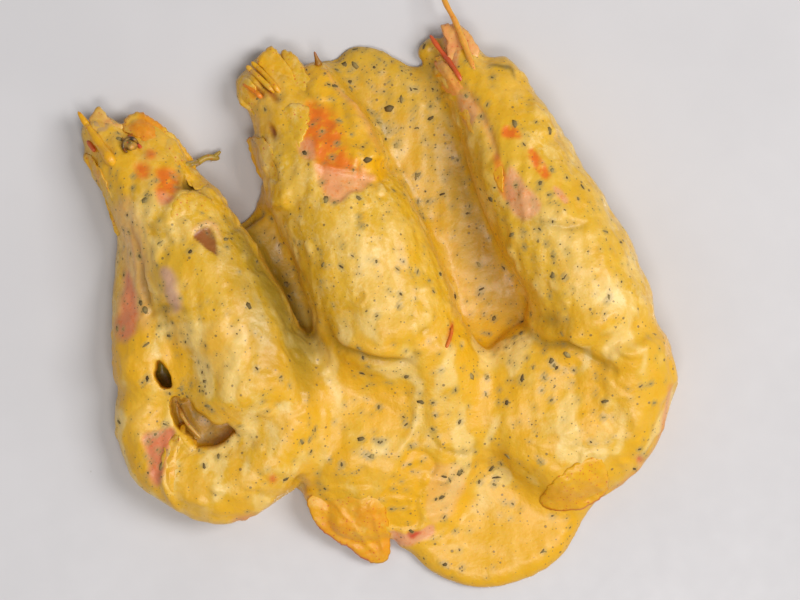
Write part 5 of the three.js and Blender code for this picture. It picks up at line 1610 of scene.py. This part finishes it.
def flake_shape(cream, sizes, coated):
    """Truffle flakes half sunk in the cream: uneven flat lumps, each turned flat to the skin where it
    lies. Their sizes are a high power of an even draw, so most are small."""
    random = np.random.default_rng(sizes.seed + coated)
    mesh = cream.data
    places, normals = np.empty(3 * len(mesh.vertices)), np.empty(3 * len(mesh.vertices))
    mesh.vertices.foreach_get("co", places)
    mesh.vertex_normals.foreach_get("vector", normals)
    places, normals = places.reshape(-1, 3) / METRES, normals.reshape(-1, 3)
    count = int(sizes.flakes * (COATED_SHARE if coated else 1 - COATED_SHARE))
    pick = random.choice(len(places), count, replace=False, p=flake_chance(places, normals))
    size = sizes.flake_size / METRES * (SMALLEST + (1 - SMALLEST) * random.random(count) ** 6)
    unit, faces = lump()
    chips = unit[None] * (1 + 0.28 * random.uniform(-1, 1, (count, len(unit))))[..., None]
    wide, thick = random.uniform(0.25, 0.75, count), random.uniform(0.2, 0.36, count)
    chips = chips * (size[:, None] * np.stack([np.ones(count), wide, thick], axis=1))[:, None]
    up = normals[pick]
    sunk = places[pick] - up * (size * (0.13 if coated else 0.05))[:, None]
    points = sunk[:, None] + laid_flat(chips, up, random.uniform(0, 2 * np.pi, count))
    triangles = faces[None] + (np.arange(count) * len(unit))[:, None, None]
    tone = random.uniform(0.15, 1, count) if coated else random.uniform(0, 0.3, count)
    tint_round(mesh, pick, 0.35 + 0.65 * smoothstep(0.2, 0.6, size))
    shape = Shape()
    shape.add(points, np.zeros((0, 4), int), triangles, pale=np.repeat(tone, len(unit)))
    return shape


def add_table(scene):
    """The table top, a square that isn't part of the dish."""
    mesh = bpy.data.meshes.new("table_top")
    corners = [(-1, -1), (1, -1), (1, 1), (-1, 1)]
    mesh.from_pydata([(TABLE_HALF * x, TABLE_HALF * y, 0) for x, y in corners], [], [(0, 1, 2, 3)])
    mesh.materials.append(floor_material(scene.dish_colours))
    table = bpy.data.objects.new("table_top", mesh)
    scene.collection.objects.link(table)


def add_light(scene, name, place, width, height, power, colour):
    """A rectangular studio light that points at the food."""
    light = bpy.data.lights.new(name, "AREA")
    light.shape = "RECTANGLE"
    light.size, light.size_y = width, height
    light.energy = power
    light.color = colour
    lamp = bpy.data.objects.new(name, light)
    lamp.location = place
    lamp.rotation_euler = (Vector(AIM) - Vector(place)).to_track_quat("-Z", "Y").to_euler()
    scene.collection.objects.link(lamp)


def add_camera(scene):
    """A camera straight above the plate that looks down."""
    camera = bpy.data.cameras.new("straight_above")
    camera.sensor_width = SENSOR_WIDTH
    camera.lens = CAMERA_LENS
    camera.clip_start = NEAREST
    view = bpy.data.objects.new("straight_above", camera)
    view.location = (0, 0, CAMERA_HEIGHT)
    scene.collection.objects.link(view)
    scene.camera = view


class DISH_OT_plate(bpy.types.Operator):
    """Turns the glazed plate with its foot ring"""

    bl_idname = "dish.plate"
    bl_label = "Plate"

    def execute(self, context):
        material = glaze_material(context.scene.dish_colours)
        plate_shape().make("plate_glazed", material, "porcelain", ["plate"])
        return {"FINISHED"}


class DISH_OT_prawns(bpy.types.Operator):
    """Lofts the three prawns"""

    bl_idname = "dish.prawns"
    bl_label = "Prawns"

    def execute(self, context):
        scene = context.scene
        material = shell_material(scene.dish_colours)
        cream = bpy.data.objects.get("truffle_cream")
        if cream is None:
            raise RuntimeError("the cream is poured before the prawns are laid under it")
        top = top_of(cream)
        for name, prawn in PRAWNS.items():
            shape = prawn_shape(prawn, scene.dish_sizes.coat / METRES + SHELL_GAP, top)
            shape.make(name + "_shell", material, "prawn_shell", [name])
        return {"FINISHED"}


class DISH_OT_cream(bpy.types.Operator):
    """Pours the truffle cream over the prawns"""

    bl_idname = "dish.cream"
    bl_label = "Truffle cream"

    def execute(self, context):
        scene = context.scene
        material = cream_material(scene.dish_colours)
        shape = cream_shape(scene.dish_sizes)
        piece = shape.make("truffle_cream", material, "truffle_cream", ["truffle_sauce"])
        close_underside(piece)
        return {"FINISHED"}


class DISH_OT_truffle(bpy.types.Operator):
    """Scatters the truffle flakes in the cream"""

    bl_idname = "dish.truffle"
    bl_label = "Truffle flakes"

    def execute(self, context):
        scene = context.scene
        cream = bpy.data.objects.get("truffle_cream")
        if cream is None:
            raise RuntimeError("the cream is poured before the flakes are scattered")
        material = truffle_material(scene.dish_colours)
        for name, coated in (("truffle_flakes_dark", False), ("truffle_flakes_coated", True)):
            flake_shape(cream, scene.dish_sizes, coated).make(name, material, "truffle_cream")
        return {"FINISHED"}


class DISH_OT_stage(bpy.types.Operator):
    """Sets the table top, the studio lights and the camera straight above the plate"""

    bl_idname = "dish.stage"
    bl_label = "Stage"

    def execute(self, context):
        scene = context.scene
        add_table(scene)
        world = bpy.data.worlds.new("studio")
        world.use_nodes = True
        world.node_tree.nodes["Background"].inputs["Color"].default_value = WORLD_COLOUR
        world.node_tree.nodes["Background"].inputs["Strength"].default_value = WORLD_STRENGTH
        scene.world = world
        for name, settings in LIGHTS.items():
            add_light(scene, name, *settings)
        add_camera(scene)
        scene.view_settings.view_transform = "Standard"
        return {"FINISHED"}


class DISH_PT_panel(bpy.types.Panel):
    """Lists the dish's sizes, colours and steps"""

    bl_label = "Prawn dish"
    bl_idname = "DISH_PT_panel"
    bl_space_type = "VIEW_3D"
    bl_region_type = "UI"
    bl_category = "Prawn dish"

    def draw(self, context):
        column = self.layout.column()
        for group in (context.scene.dish_sizes, context.scene.dish_colours):
            for key in group.__annotations__:
                column.prop(group, key)
        for operator in OPERATORS:
            column.operator(operator.bl_idname)


OPERATORS = (DISH_OT_plate, DISH_OT_cream, DISH_OT_prawns, DISH_OT_truffle, DISH_OT_stage)
CLASSES = (DishSizes, DishColours, *OPERATORS, DISH_PT_panel)


def register():
    """Makes the dish's classes and settings known to Blender."""
    for item in CLASSES:
        bpy.utils.register_class(item)
    bpy.types.Scene.dish_sizes = PointerProperty(type=DishSizes)
    bpy.types.Scene.dish_colours = PointerProperty(type=DishColours)


def unregister():
    """Takes them away again."""
    del bpy.types.Scene.dish_colours
    del bpy.types.Scene.dish_sizes
    for item in reversed(CLASSES):
        bpy.utils.unregister_class(item)


def main():
    """Builds the dish."""
    register()
    bpy.ops.dish.plate()
    bpy.ops.dish.cream()
    bpy.ops.dish.prawns()
    bpy.ops.dish.truffle()
    bpy.ops.dish.stage()


if __name__ == "__main__":
    main()
